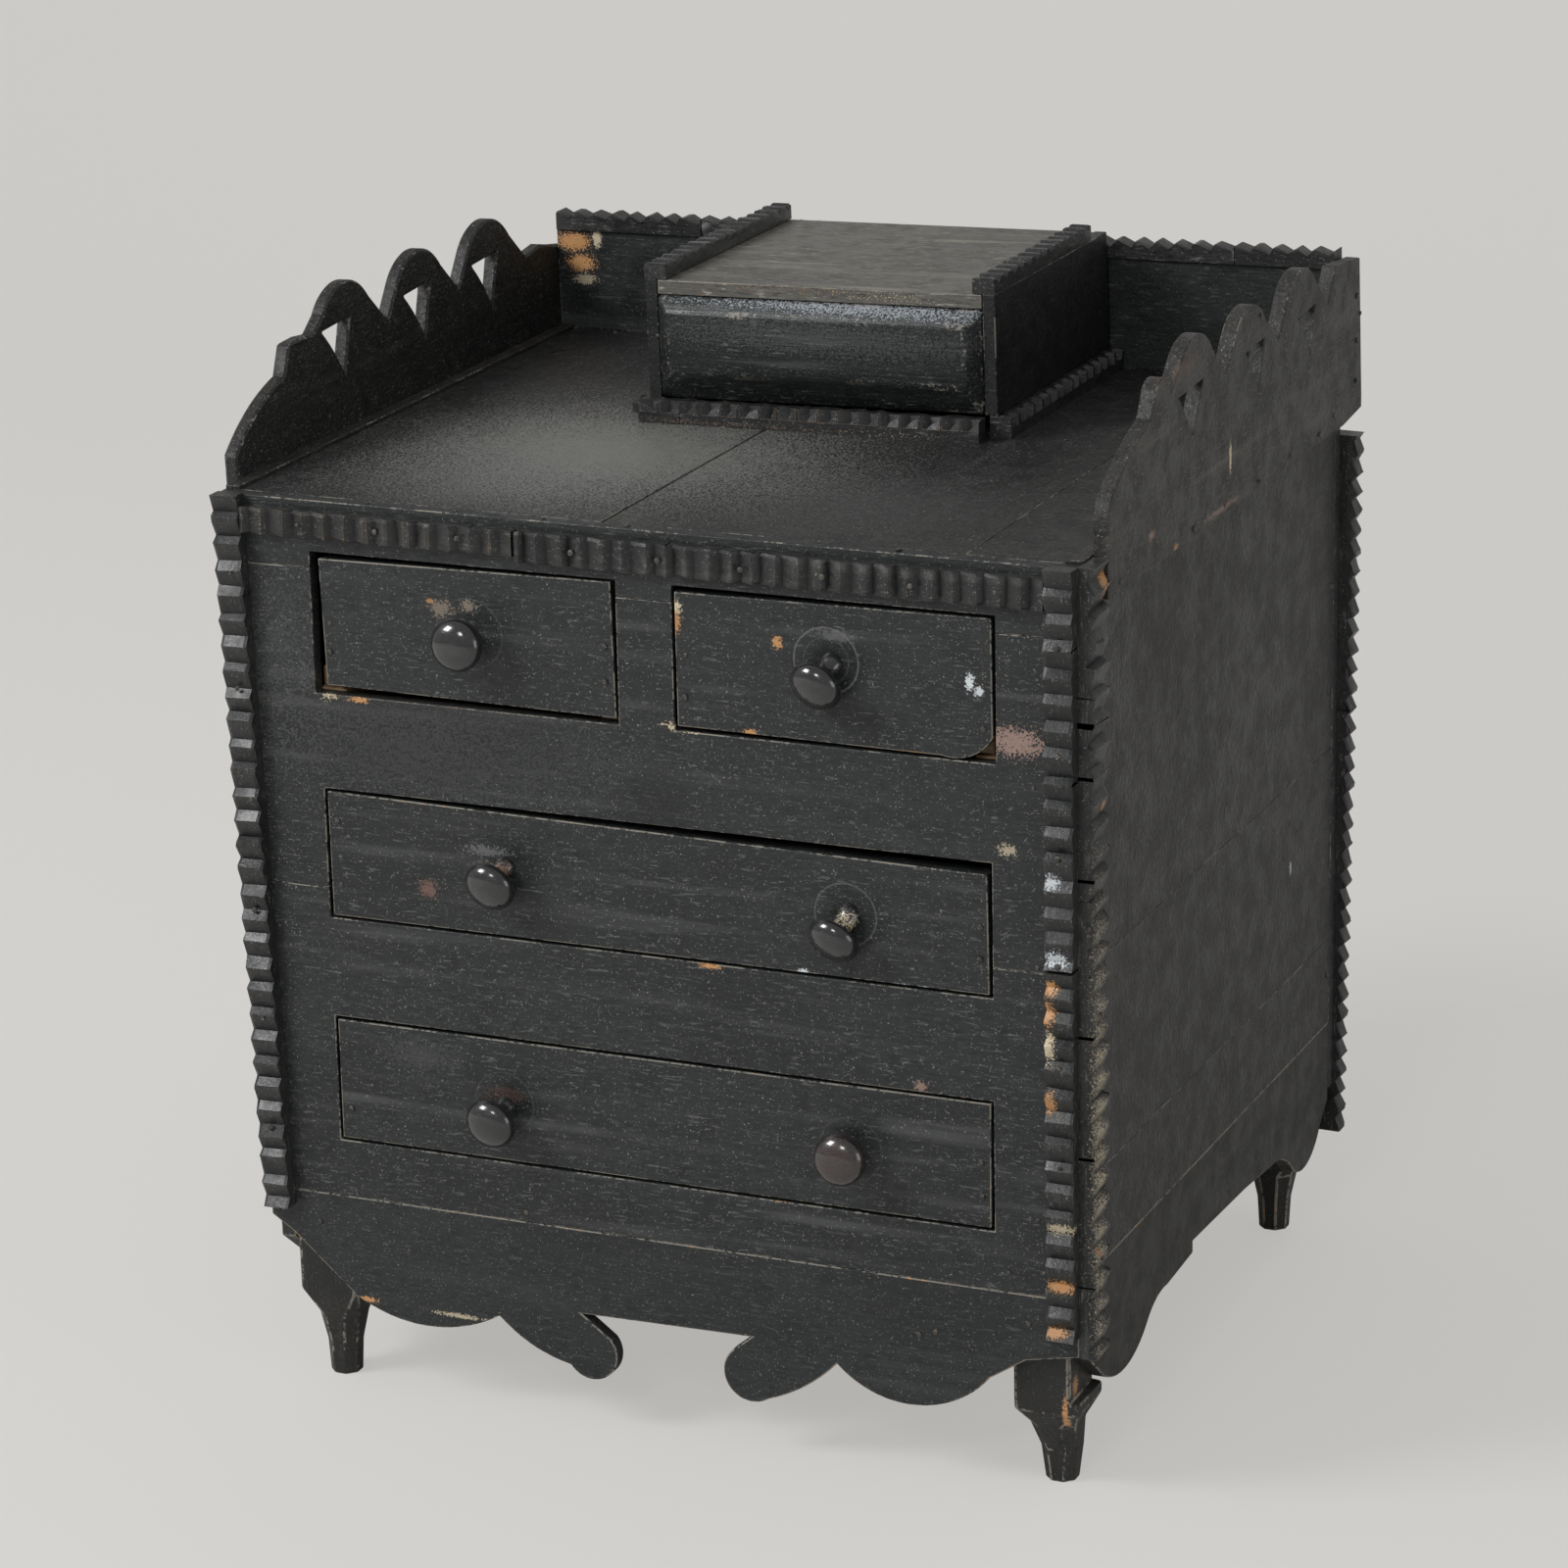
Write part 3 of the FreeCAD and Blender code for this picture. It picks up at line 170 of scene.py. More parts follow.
def build_old_paint():
    """One coat of black paint on wood: sunken clouds, grain, brush dashes, crazing and dust."""
    inputs = {
        "Vector": (VECTOR, (0, 0, 0)),
        "Grain": (VECTOR, (1, 1, 1)),
        "Crackle": (NUMBER, 0.5),
        "Grain Depth": (NUMBER, 0.5),
        "Rubbing": (NUMBER, 0.5),
        "Dust": (NUMBER, 0.5),
        "Gloss": (NUMBER, 0.5),
        "Patches": (NUMBER, 1),
        "Paint": (COLOUR, PAINT_BLACK),
        "Sunken": (COLOUR, PAINT_SUNKEN),
        "Rubbed": (COLOUR, PAINT_RUBBED),
    }
    outputs = {"Color": COLOUR, "Roughness": NUMBER, "Height": NUMBER}
    group, get, put = new_group("old_black_paint", inputs, outputs)
    along = vector_math(group, "MULTIPLY", get["Vector"], get["Grain"])
    dash_way = vector_math(group, "ADD", get["Grain"], (DASH_LENGTH, DASH_LENGTH, DASH_LENGTH))
    dash_space = vector_math(group, "MULTIPLY", get["Vector"], dash_way)
    lines = noise(group, along, GRAIN_LINES, 4.0, 0.65, 0.3)
    streaks = noise(group, along, STREAK_LINES, 3.0, 0.55)
    clouds = noise(group, get["Vector"], CLOUD_CELLS, 4.0, 0.6)
    mottle = noise(group, get["Vector"], MOTTLE_CELLS, 4.0, 0.65)
    specks = noise(group, get["Vector"], SPECK_CELLS, 2.0, 0.6)
    dashes = noise(group, dash_space, DASH_CELLS, 2.0, 0.55)
    cells = wired(
        group,
        "ShaderNodeTexVoronoi",
        {"Vector": get["Vector"], "Scale": CRACKLE_CELLS},
        feature="SMOOTH_F1",
    ).outputs["Distance"]
    coarse_cells = noise(group, get["Vector"], CRACKLE_CELLS * 0.8, 2.0, 0.5)

    sunken = times(group, between(group, clouds, 0.42, 0.62), 0.45)
    sunken = times(group, sunken, get["Patches"])
    pooled = times(group, between(group, mottle, 0.48, 0.66), 0.55)
    pooled = times(group, pooled, get["Patches"])
    colour = mixed(group, math_node(group, "MAXIMUM", sunken, pooled), get["Paint"], get["Sunken"])
    dark_dashes = times(group, between(group, dashes, 0.36, 0.44, 1.0, 0.0), 0.7)
    colour = mixed(group, dark_dashes, colour, get["Sunken"])
    rubbed_lines = between(group, streaks, 0.52, 0.76)
    rubbed_dashes = between(group, dashes, 0.60, 0.68)
    rubbed_dashes = times(group, rubbed_dashes, between(group, mottle, 0.40, 0.60, 0.25, 1.0))
    rubbed_lines = times(group, rubbed_lines, between(group, clouds, 0.40, 0.60, 0.1, 0.7))
    rub = math_node(group, "MAXIMUM", rubbed_lines, rubbed_dashes)
    rub = times(group, rub, get["Rubbing"])
    colour = mixed(group, rub, colour, get["Rubbed"])
    dust_specks = between(group, specks, 0.64, 0.72)
    dust = times(group, dust_specks, get["Dust"])
    colour = mixed(group, dust, colour, DUST)
    group.links.new(colour, put["Color"])

    worn_dull = minus(group, 1.0, get["Gloss"])
    gloss = between(group, mottle, 0.35, 0.65, 0.26, 0.44)
    gloss = plus(group, gloss, times(group, worn_dull, 0.3))
    gloss = plus(group, gloss, times(group, dust, 0.3))
    group.links.new(gloss, put["Roughness"])

    relief = times(group, lines, get["Grain Depth"])
    leather = times_plus(group, cells, 0.9, coarse_cells)
    relief = times_plus(group, leather, get["Crackle"], relief)
    relief = times_plus(group, specks, 0.35, relief)
    group.links.new(times_plus(group, rubbed_dashes, 0.25, relief), put["Height"])
    return group


def build_worn_edge():
    """Where a sawn or cut edge is rubbed pale, and where it is rubbed through to the wood."""
    inputs = {"Vector": (VECTOR, (0, 0, 0)), "Edge": (NUMBER, 0.0), "Amount": (NUMBER, 0.5)}
    group, get, put = new_group("worn_edge", inputs, {"Rubbed": NUMBER, "Through": NUMBER})
    long_patches = noise(group, get["Vector"], LONG_WEAR_CELLS, 3.0, 0.6)
    short_patches = noise(group, get["Vector"], SHORT_WEAR_CELLS, 2.0, 0.6)
    patches = times(group, long_patches, 0.55)
    patches = times_plus(group, short_patches, 0.45, patches)
    needed = times_plus(group, get["Amount"], -0.3, 0.66)
    over = minus(group, patches, needed)
    rubbed = times(group, between(group, over, 0.0, 0.07), get["Edge"])
    group.links.new(rubbed, put["Rubbed"])
    through = times(group, between(group, over, 0.155, 0.20), get["Edge"])
    group.links.new(through, put["Through"])
    return group


def build_chip():
    """A ragged flake: one inside an ellipsoid round its centre, broken up by noise."""
    inputs = {
        "Vector": (VECTOR, (0, 0, 0)),
        "Centre": (VECTOR, (0, 0, 0)),
        "Size": (VECTOR, (0.001, 0.001, 0.001)),
        "Ragged": (NUMBER, 0.8),
        "Grit": (NUMBER, 1150),
        "Hollow": (NUMBER, 0),
    }
    group, get, put = new_group("chip", inputs, {"Mask": NUMBER})
    from_centre = vector_math(group, "SUBTRACT", get["Vector"], get["Centre"])
    in_sizes = vector_math(group, "DIVIDE", from_centre, get["Size"])
    reach = wired(group, "ShaderNodeVectorMath", {0: in_sizes}, operation="LENGTH").outputs["Value"]
    from_ring = math_node(group, "ABSOLUTE", minus(group, reach, 1.0))
    from_ring = times_plus(group, from_ring, 14.0, 0.3)
    away = minus(group, from_ring, reach)
    reach = times_plus(group, away, get["Hollow"], reach)
    grit = noise(group, get["Vector"], get["Grit"], 3.0, 0.6)
    broken = times(group, minus(group, grit, 0.5), get["Ragged"])
    edge = plus(group, reach, times(group, broken, 3.0))
    group.links.new(between(group, edge, 0.50, 0.85, 1.0, 0.0), put["Mask"])
    return group


OLD_PAINT = build_old_paint()
WORN_EDGE = build_worn_edge()
CHIP = build_chip()
GRAIN_ALONG = {
    "x": (GRAIN_STRETCH, 1, 1),
    "y": (1, GRAIN_STRETCH, 1),
    "z": (1, 1, GRAIN_STRETCH),
}
CREAM = (0.62, 0.52, 0.36, 1)
CHALK = (0.62, 0.66, 0.68, 1)
TAN = (0.26, 0.17, 0.13, 1)
RED_BROWN = (0.16, 0.06, 0.035, 1)
PALE_WEAR_AND_SHEEN = (0.15, 0.155, 0.15, 1)


def flaked(tree, spot):
    """The mask of one chip."""
    return wired(tree, "ShaderNodeGroup", spot, node_tree=CHIP).outputs["Mask"]


def painted_wood(
    name,
    grain,
    crackle=0.5,
    grain_depth=0.5,
    rubbing=0.5,
    dust=0.5,
    gloss=0.5,
    wear=0.5,
    relief=0.00022,
    colours=(PAINT_BLACK, PAINT_SUNKEN, PAINT_RUBBED),
    shift=0.0,
    patches=1.0,
    marks=(),
    rings=(),
):
    """Old paint with worn edges, rubbed, chipped and scribed where the lists say so.

    A mark is (x, y, z, size, colour, strength, ragged) and a ring (x, z, radius, strength), with
    places and sizes in millimetres on the case. Shift moves the pattern, so no two boards match.
    """
    material = bpy.data.materials.new(name)
    material.use_nodes = True
    tree = material.node_tree
    surface = tree.nodes["Principled BSDF"]
    place = wired(tree, "ShaderNodeTexCoord", {}).outputs["Object"]
    sockets = {"Vector": place, "Location": (shift, 2 * shift, 3 * shift)}
    own_place = wired(tree, "ShaderNodeMapping", sockets)
    edge = wired(tree, "ShaderNodeAttribute", {}, attribute_name="arris").outputs["Fac"]
    values = {
        "Vector": own_place.outputs["Vector"],
        "Grain": GRAIN_ALONG[grain],
        "Crackle": crackle,
        "Grain Depth": grain_depth,
        "Rubbing": rubbing,
        "Dust": dust,
        "Gloss": gloss,
        "Patches": patches,
        "Paint": colours[0],
        "Sunken": colours[1],
        "Rubbed": colours[2],
    }
    paint = wired(tree, "ShaderNodeGroup", values, node_tree=OLD_PAINT)
    values = {"Vector": own_place.outputs["Vector"], "Edge": edge, "Amount": wear}
    worn = wired(tree, "ShaderNodeGroup", values, node_tree=WORN_EDGE)
    colour = mixed(tree, worn.outputs["Rubbed"], paint.outputs["Color"], EDGE_RUBBED)
    colour = mixed(tree, worn.outputs["Through"], colour, BARE_WOOD)
    # Painted shade: the valleys of the notched strips, marked by the hollow attribute, are darkened
    # towards the sunken paint colour.
    hollow = wired(tree, "ShaderNodeAttribute", {}, attribute_name="hollow").outputs["Fac"]
    colour = mixed(tree, times(tree, hollow, HOLLOW_SHADE), colour, PAINT_SUNKEN)
    height = paint.outputs["Height"]
    for x, y, z, size, mark_colour, strength, ragged in marks:
        spot = {
            "Vector": place,
            "Centre": on_case(x, y, z),
            "Size": Vector(size) / 1000,
            "Ragged": ragged,
        }
        mask = times(tree, flaked(tree, spot), strength)
        colour = mixed(tree, mask, colour, mark_colour)
        height = times_plus(tree, mask, CHIP_SINK, height)
    for x, z, radius, strength in rings:
        spot = {
            "Vector": place,
            "Centre": on_case(x, 0, z),
            "Size": Vector((radius, RING_REACH, radius)) / 1000,
            "Ragged": RING_RAGGED,
            "Hollow": 1.0,
        }
        mask = times(tree, flaked(tree, spot), strength)
        colour = mixed(tree, mask, colour, PALE_WEAR_AND_SHEEN)
        height = times_plus(tree, mask, RING_SINK, height)
    tree.links.new(colour, surface.inputs["Base Color"])
    tree.links.new(paint.outputs["Roughness"], surface.inputs["Roughness"])
    bump = wired(tree, "ShaderNodeBump", {"Height": height, "Distance": relief, "Strength": 1.0})
    tree.links.new(bump.outputs["Normal"], surface.inputs["Normal"])
    return material


def whole_faces(node):
    """A CAD piece as a clean bmesh: doubles merged and each flat face in one piece."""
    shape = bmesh.new()
    shape.from_mesh(nodes[node].data)
    bmesh.ops.remove_doubles(shape, verts=shape.verts, dist=WELD)
    bmesh.ops.dissolve_limit(
        shape, angle_limit=FLAT_ANGLE, verts=shape.verts, edges=shape.edges, delimit={"NORMAL"}
    )
    return shape


def ease_edges(shape, arris, segments=2):
    """Bevels the sharp edges; the eased faces of outer edges carry the face attribute arris."""
    flag = shape.faces.layers.float.get("arris") or shape.faces.layers.float.new("arris")
    sharp = [edge for edge in shape.edges if edge.calc_face_angle(0.0) > SHARP_ANGLE]
    shares = {"segments": segments, "profile": 0.5, "affect": "EDGES", "clamp_overlap": True}
    eased = bmesh.ops.bevel(shape, geom=sharp, offset=arris, **shares)
    for face in eased["faces"]:
        face[flag] = 1.0 if any(edge.is_convex for edge in face.edges) else 0.0
    for face in shape.faces:
        face.smooth = True
    for edge in shape.edges:
        edge.smooth = edge.calc_face_angle(0.0) < SMOOTH_ANGLE


def piece_of(name, shape, materials):
    """Makes an object of a bmesh, with these materials alone."""
    mesh = bpy.data.meshes.new(name)
    shape.to_mesh(mesh)
    shape.free()
    mesh.materials.clear()
    for material in materials:
        mesh.materials.append(material)
    piece = bpy.data.objects.new(name, mesh)
    bpy.context.scene.collection.objects.link(piece)
    return piece


def finished(name, shape, materials, replaced):
    """Makes the piece on the body and in the place of the CAD node that it stands for."""
    piece = piece_of(name, shape, materials)
    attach(piece, next(body for body, members in bodies.items() if replaced in members))
    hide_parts(replaced)
    return piece


def eased_board(node, material, arris=BOARD_ARRIS, bare_side=None, segments=2):
    """A board with its edges eased; the side that the carcass hides was never painted."""
    shape = whole_faces(node)
    ease_edges(shape, arris, segments)
    materials = [material]
    if bare_side:
        materials.append(BARE_SOFTWOOD)
        for face in shape.faces:
            if face.normal.dot(Vector(bare_side)) > 0.9:
                face.material_index = 1
    return finished(node + "_finished", shape, materials, node)


SOFTWOOD_COLOURS = ((0.36, 0.235, 0.135, 1), (0.20, 0.125, 0.07, 1), (0.47, 0.33, 0.20, 1))
BARE_SOFTWOOD = painted_wood(
    "bare_softwood", "x", crackle=0.0, grain_depth=0.8, rubbing=0.7, dust=0.1, gloss=0.0, wear=0.0,
    colours=SOFTWOOD_COLOURS,
)

UPPER_FRONT_MARKS = [
    (-100, 0, 291, (90, 9, 28), PAINT_SUNKEN, 0.75, 0.7),
    # The next two marks are painted glints: faint, ragged pale grey where the glossy paint catches the
    # light.
    (-100, 0, 287, (64, 9, 20), PALE_WEAR_AND_SHEEN, 0.16, 3.4),
    (-166, 0, 322, (20, 9, 30), PALE_WEAR_AND_SHEEN, 0.15, 3.4),
    (4, 0, 268, (20, 9, 26), PAINT_SUNKEN, 0.6, 0.6),
    (-126.4, 0, 303.8, (6, 1.5, 1.6), BARE_WOOD, 1, 0.7),
    (-140, 0, 306.5, (6, 1.5, 4.6), CREAM, 0.8, 1),
    (155, 0, 314.5, (15, 3, 7), (0.33, 0.22, 0.18, 1), 0.85, 1.1),
    (151.2, 0, 271, (4.6, 2, 3.2), CREAM, 0.6, 1.1),
    (17.1, 0, 306.8, (11, 1.5, 2.6), CREAM, 0.9, 0.9),
]
LOWER_FRONT_MARKS = [
    (25.1, 0, 208.8, (7, 1.5, 1.5), BARE_WOOD, 1, 0.7),
    (53.5, 0, 114, (5, 1.5, 2), BARE_WOOD, 0.7, 0.8),
    (114.3, 0, 169.8, (4, 1.5, 2.8), TAN, 0.9, 0.8),
    (-60, 0, 129, (30, 1.5, 1.2), CREAM, 0.6, 1.1),
]
front_top_rail_paint = painted_wood("front_top_rail_paint", "x", 0.4, 0.9, 0.5, 0.6, 0.6, shift=0.31)
front_upper_paint = painted_wood(
    "front_upper_paint", "x", 0.4, 0.9, 0.65, 0.8, 0.6, wear=0.6, shift=0.0,
    marks=UPPER_FRONT_MARKS,
)
front_lower_paint = painted_wood(
    "front_lower_paint", "x", 0.4, 0.8, 0.6, 0.8, 0.6, wear=0.6, shift=0.57,
    marks=LOWER_FRONT_MARKS,
)
INWARDS = (0, 1, 0)
eased_board("front_top_rail", front_top_rail_paint, bare_side=INWARDS)
eased_board("front_board_upper", front_upper_paint, bare_side=INWARDS)
eased_board("front_board_lower", front_lower_paint, bare_side=INWARDS)

# Front apron: the lowest board of the front, sawn with a scalloped edge and two scrolled hooks
# that leave an arch between them. The saw left its lower edge rough, and the paint is worn there.
APRON_ARRIS = 0.0006
APRON_MARKS = [
    (-134.9, 0, 42.8, (6, 2, 1.6), BARE_WOOD, 1, 0.7),
    (-92.2, 0, 41.6, (14, 2, 1.2), CREAM, 0.7, 1),
    (107, 0, 8, (12, 2, 1.6), BARE_WOOD, 0.8, 0.9),
]
apron_paint = painted_wood(
    "apron_paint", "x", 0.4, 0.5, 0.3, 0.6, 0.4, wear=0.75, shift=0.83, marks=APRON_MARKS,
)
eased_board("front_apron", apron_paint, arris=APRON_ARRIS, bare_side=INWARDS)

# Sides: three boards each, with their grain running front to back, nailed behind the front. The
# paint on them has crazed like fine leather; the seams show as thin pale lines. Below is the side
# apron, cut away in a curve between the feet.
SIDE_COLOURS = ((0.0190, 0.0182, 0.0158, 1), (0.0090, 0.0088, 0.0078, 1), (0.085, 0.080, 0.066, 1))
SIDE_MARKS = [
    (180, 265, 184.5, (1.5, 1.6, 4.6), CHALK, 0.8, 0.6),
    (180, 120, 330, (3, 60, 40), (0.016, 0.014, 0.011, 1), 0.5, 0.8),
    (180, 22.9, 288, (2, 2, 2.4), BARE_WOOD, 0.8, 0.6),
]
for side, inwards in {"left": (1, 0, 0), "right": (-1, 0, 0)}.items():
    for step, member in enumerate(["upper", "middle", "lower"]):
        paint = painted_wood(
            f"side_{side}_{member}_paint", "y", crackle=1.0, grain_depth=(0.3, 0.55, 0.6)[step],
            rubbing=(0.22, 0.34, 0.38)[step], dust=1.0, gloss=0.5, wear=0.5, relief=0.0004,
            patches=0.1, colours=SIDE_COLOURS,
            shift=0.41 * (step + 1) + (0.2 if side == "left" else 0.0),
            marks=SIDE_MARKS if side == "right" else (),
        )
        eased_board(f"side_{side}_{member}", paint, bare_side=inwards)
    paint = painted_wood(
        f"side_{side}_apron_paint", "y", 0.8, 0.5, 0.3, 0.6, 0.4, wear=0.75, colours=SIDE_COLOURS,
        shift=1.9,
    )
    eased_board(f"side_apron_{side}", paint, arris=APRON_ARRIS, bare_side=inwards)

# Back: two wide boards nailed on behind the sides. It stood against a wall, so it got a thin coat
# of the same paint, with more of the grain showing.
back_paint = painted_wood("back_paint", "x", 0.3, 1.0, 0.6, 0.9, 0.2, wear=0.4, shift=2.3)
for member in ["lower", "upper"]:
    eased_board(f"back_board_{member}", back_paint, bare_side=(0, -1, 0))

# Top: three boards laid front to back between the sides, with open joints. The paint keeps more
# gloss here than anywhere else; the silvery patch in front of the small box is painted sheen.
TOP_SURFACE = 385.0
TOP_MARKS = [
    # The first three marks are painted sheen: pale patches where the top reflects the light.
    (-64, 110, TOP_SURFACE, (120, 105, 20), (0.19, 0.19, 0.175, 1), 0.8, 1.2),
    (-90, 50, TOP_SURFACE, (80, 60, 20), PALE_WEAR_AND_SHEEN, 0.3, 1.3),
    (60, 70, TOP_SURFACE, (80, 60, 20), PALE_WEAR_AND_SHEEN, 0.16, 1.3),
    (-128, 1.5, TOP_SURFACE, (5, 2, 1.5), BARE_WOOD, 0.9, 0.7),
    (-104, 1.5, TOP_SURFACE, (4, 2, 1.5), BARE_WOOD, 0.8, 0.7),
]
TOP_COLOURS = ((0.0130, 0.0132, 0.0126, 1), (0.0045, 0.0047, 0.0047, 1), (0.07, 0.07, 0.066, 1))
for step, side in enumerate(["left", "middle", "right"]):
    paint = painted_wood(
        f"top_{side}_paint", "y", crackle=0.6, grain_depth=0.6, rubbing=0.4, dust=0.9, gloss=0.6,
        wear=0.55, colours=TOP_COLOURS, shift=2.9 + 0.37 * step, marks=TOP_MARKS,
    )
    eased_board(f"top_board_{side}", paint, bare_side=(0, 0, -1))

# Back gallery: a board nailed on behind the top, cut a little askew so that it climbs to the
# right. Its left end has lost its paint.
BACK_GALLERY_FACE = 322.0
BACK_GALLERY_MARKS = [
    (-179, BACK_GALLERY_FACE, 424.5, (11, 4, 6), BARE_WOOD, 1, 0.7),
    (-175.5, BACK_GALLERY_FACE, 415, (9, 4, 5), BARE_WOOD, 0.95, 0.9),
    (-167.5, BACK_GALLERY_FACE, 427, (3, 4, 6), CREAM, 0.9, 0.7),
    (-174, BACK_GALLERY_FACE, 407.5, (7, 4, 3), CREAM, 0.6, 1),
]
back_gallery_paint = painted_wood(
    "back_gallery_paint", "x", 0.5, 0.5, 0.4, 0.6, 0.5, wear=0.6, shift=3.7,
    marks=BACK_GALLERY_MARKS,
)
eased_board("back_gallery", back_gallery_paint)

# Side galleries: one fretted board each, sawn by eye and whittled along the edges with a knife:
# a round shoulder, a small knob and three pierced humps. Nailed to the outside of the sides.
GALLERY_ARRIS = 0.0011
OUTER_COLOURS = ((0.027, 0.0258, 0.0225, 1), (0.0095, 0.0092, 0.0082, 1), (0.16, 0.145, 0.125, 1))
GALLERY_COLOURS = ((0.0115, 0.0112, 0.0100, 1), (0.0050, 0.0050, 0.0045, 1), (0.08, 0.075, 0.065, 1))
GALLERY_MARKS = [
    (180, 161.5, 391, (9, 1.9, 9.5), CREAM, 1, 0.6),
    (186.5, 161.5, 391, (3, 1.9, 9.5), CREAM, 1, 0.6),
    (186.5, 66.6, 382, (3, 5, 2.4), TAN, 0.9, 0.9),
    (186.5, 95.3, 369.8, (3, 3.6, 2.6), BARE_WOOD, 0.7, 0.8),
    (186.5, 150, 372, (3, 26, 1.8), TAN, 0.7, 1.1),
    (186.5, 100, 440, (4, 30, 5), (0.12, 0.075, 0.055, 1), 0.5, 1.1),
]
for side in ["left", "right"]:
    paint = painted_wood(
        f"gallery_{side}_paint", "y", crackle=0.8, grain_depth=0.6, rubbing=0.6, dust=1.0,
        gloss=0.4, wear=0.35, relief=0.0004,
        colours=OUTER_COLOURS if side == "right" else GALLERY_COLOURS,
        shift=4.1 if side == "left" else 4.6, marks=GALLERY_MARKS if side == "right" else (),
    )
    eased_board(f"gallery_{side}", paint, arris=GALLERY_ARRIS, segments=1)

# Feet: square blocks nailed into the corners and whittled below the aprons to an eight-sided
# taper. The front right one has a split corner that shows fresh wood.
FOOT_ARRIS = 0.0007
FOOT_MARKS = [
    (171.5, 9, 34, (1.8, 7, 15), BARE_WOOD, 1, 0.7),
    (173, 13, 46, (1.8, 4, 6), BARE_WOOD, 0.8, 0.9),
]
foot_paint = painted_wood(
    "foot_paint", "z", 0.5, 0.6, 0.35, 0.4, 0.45, wear=0.6, colours=GALLERY_COLOURS, shift=5.2,
    marks=FOOT_MARKS,
)
for corner in ["front_left", "front_right", "rear_left", "rear_right"]:
    eased_board(f"foot_{corner}", foot_paint, arris=FOOT_ARRIS)

# Bearing strips and guides for the drawers: planed softwood sticks nailed to the insides of the
# carcass. They were never painted.
runner_wood = painted_wood(
    "runner_wood", "y", 0.0, 0.7, 0.6, 0.1, 0.1, wear=0.0, colours=SOFTWOOD_COLOURS, shift=5.9,
)
runners = eased_board("drawer_runners", runner_wood)

# Notched strips: sticks of softwood with V notches cut by knife across one face or along one
# arris, so no two teeth are quite alike. They trim every corner and edge, nailed on. Their
# crests are pale, partly rubbed paint and partly a painted highlight where they catch the light.
STRIP_ARRIS = 0.00034
COLUMNS_PER_TOOTH, ROWS, LAYERS = 3.0, 4, 3
DEPTH_SPREAD = (0.8, 1.15)
CORNER_SPREAD = (0.42, 0.56)
DEPTH_DRAW, SLANT_DRAW = 5.0, 17.0
NOTCH = {
    "Depth": 0.0026,
    "Land": 0.0009,
    "Valley": 0.32,
    "Corner Cut": 0.0,
    "Edge": 0.0012,
    "Unevenness": 0.09,
    "Skew": 0.0009,
    "Wear": 0.00045,
}


def sockets_of(tree, numbers, whole_numbers=(), others=()):
    """The tree's named inputs, a geometry input first, and its one geometry output."""
    for label, kind in others:
        tree.interface.new_socket(label, in_out="INPUT", socket_type=kind)
    for label in numbers:
        tree.interface.new_socket(label, in_out="INPUT", socket_type="NodeSocketFloat")
    for label in whole_numbers:
        tree.interface.new_socket(label, in_out="INPUT", socket_type="NodeSocketInt")
    tree.interface.new_socket("Geometry", in_out="OUTPUT", socket_type="NodeSocketGeometry")
    return tree.nodes.new("NodeGroupInput").outputs, tree.nodes.new("NodeGroupOutput").inputs


def drawn(tree, low, high, identity, seed):
    """A fixed random number for each identity."""
    sockets = {2: low, 3: high, 7: identity, 8: seed}
    node = wired(tree, "FunctionNodeRandomValue", sockets, data_type="FLOAT")
    return node.outputs[1]


def is_equal(tree, value, wanted):
    return math_node(tree, "COMPARE", value, wanted, 0.4)


def realized(tree, geometry, get, put):
    """Ends a tree: plain geometry in the material that the tree is given."""
    whole = wired(tree, "GeometryNodeRealizeInstances", {"Geometry": geometry}).outputs["Geometry"]
    painted = wired(tree, "GeometryNodeSetMaterial", {"Geometry": whole, "Material": get["Material"]})
    tree.links.new(painted.outputs["Geometry"], put["Geometry"])
    return tree


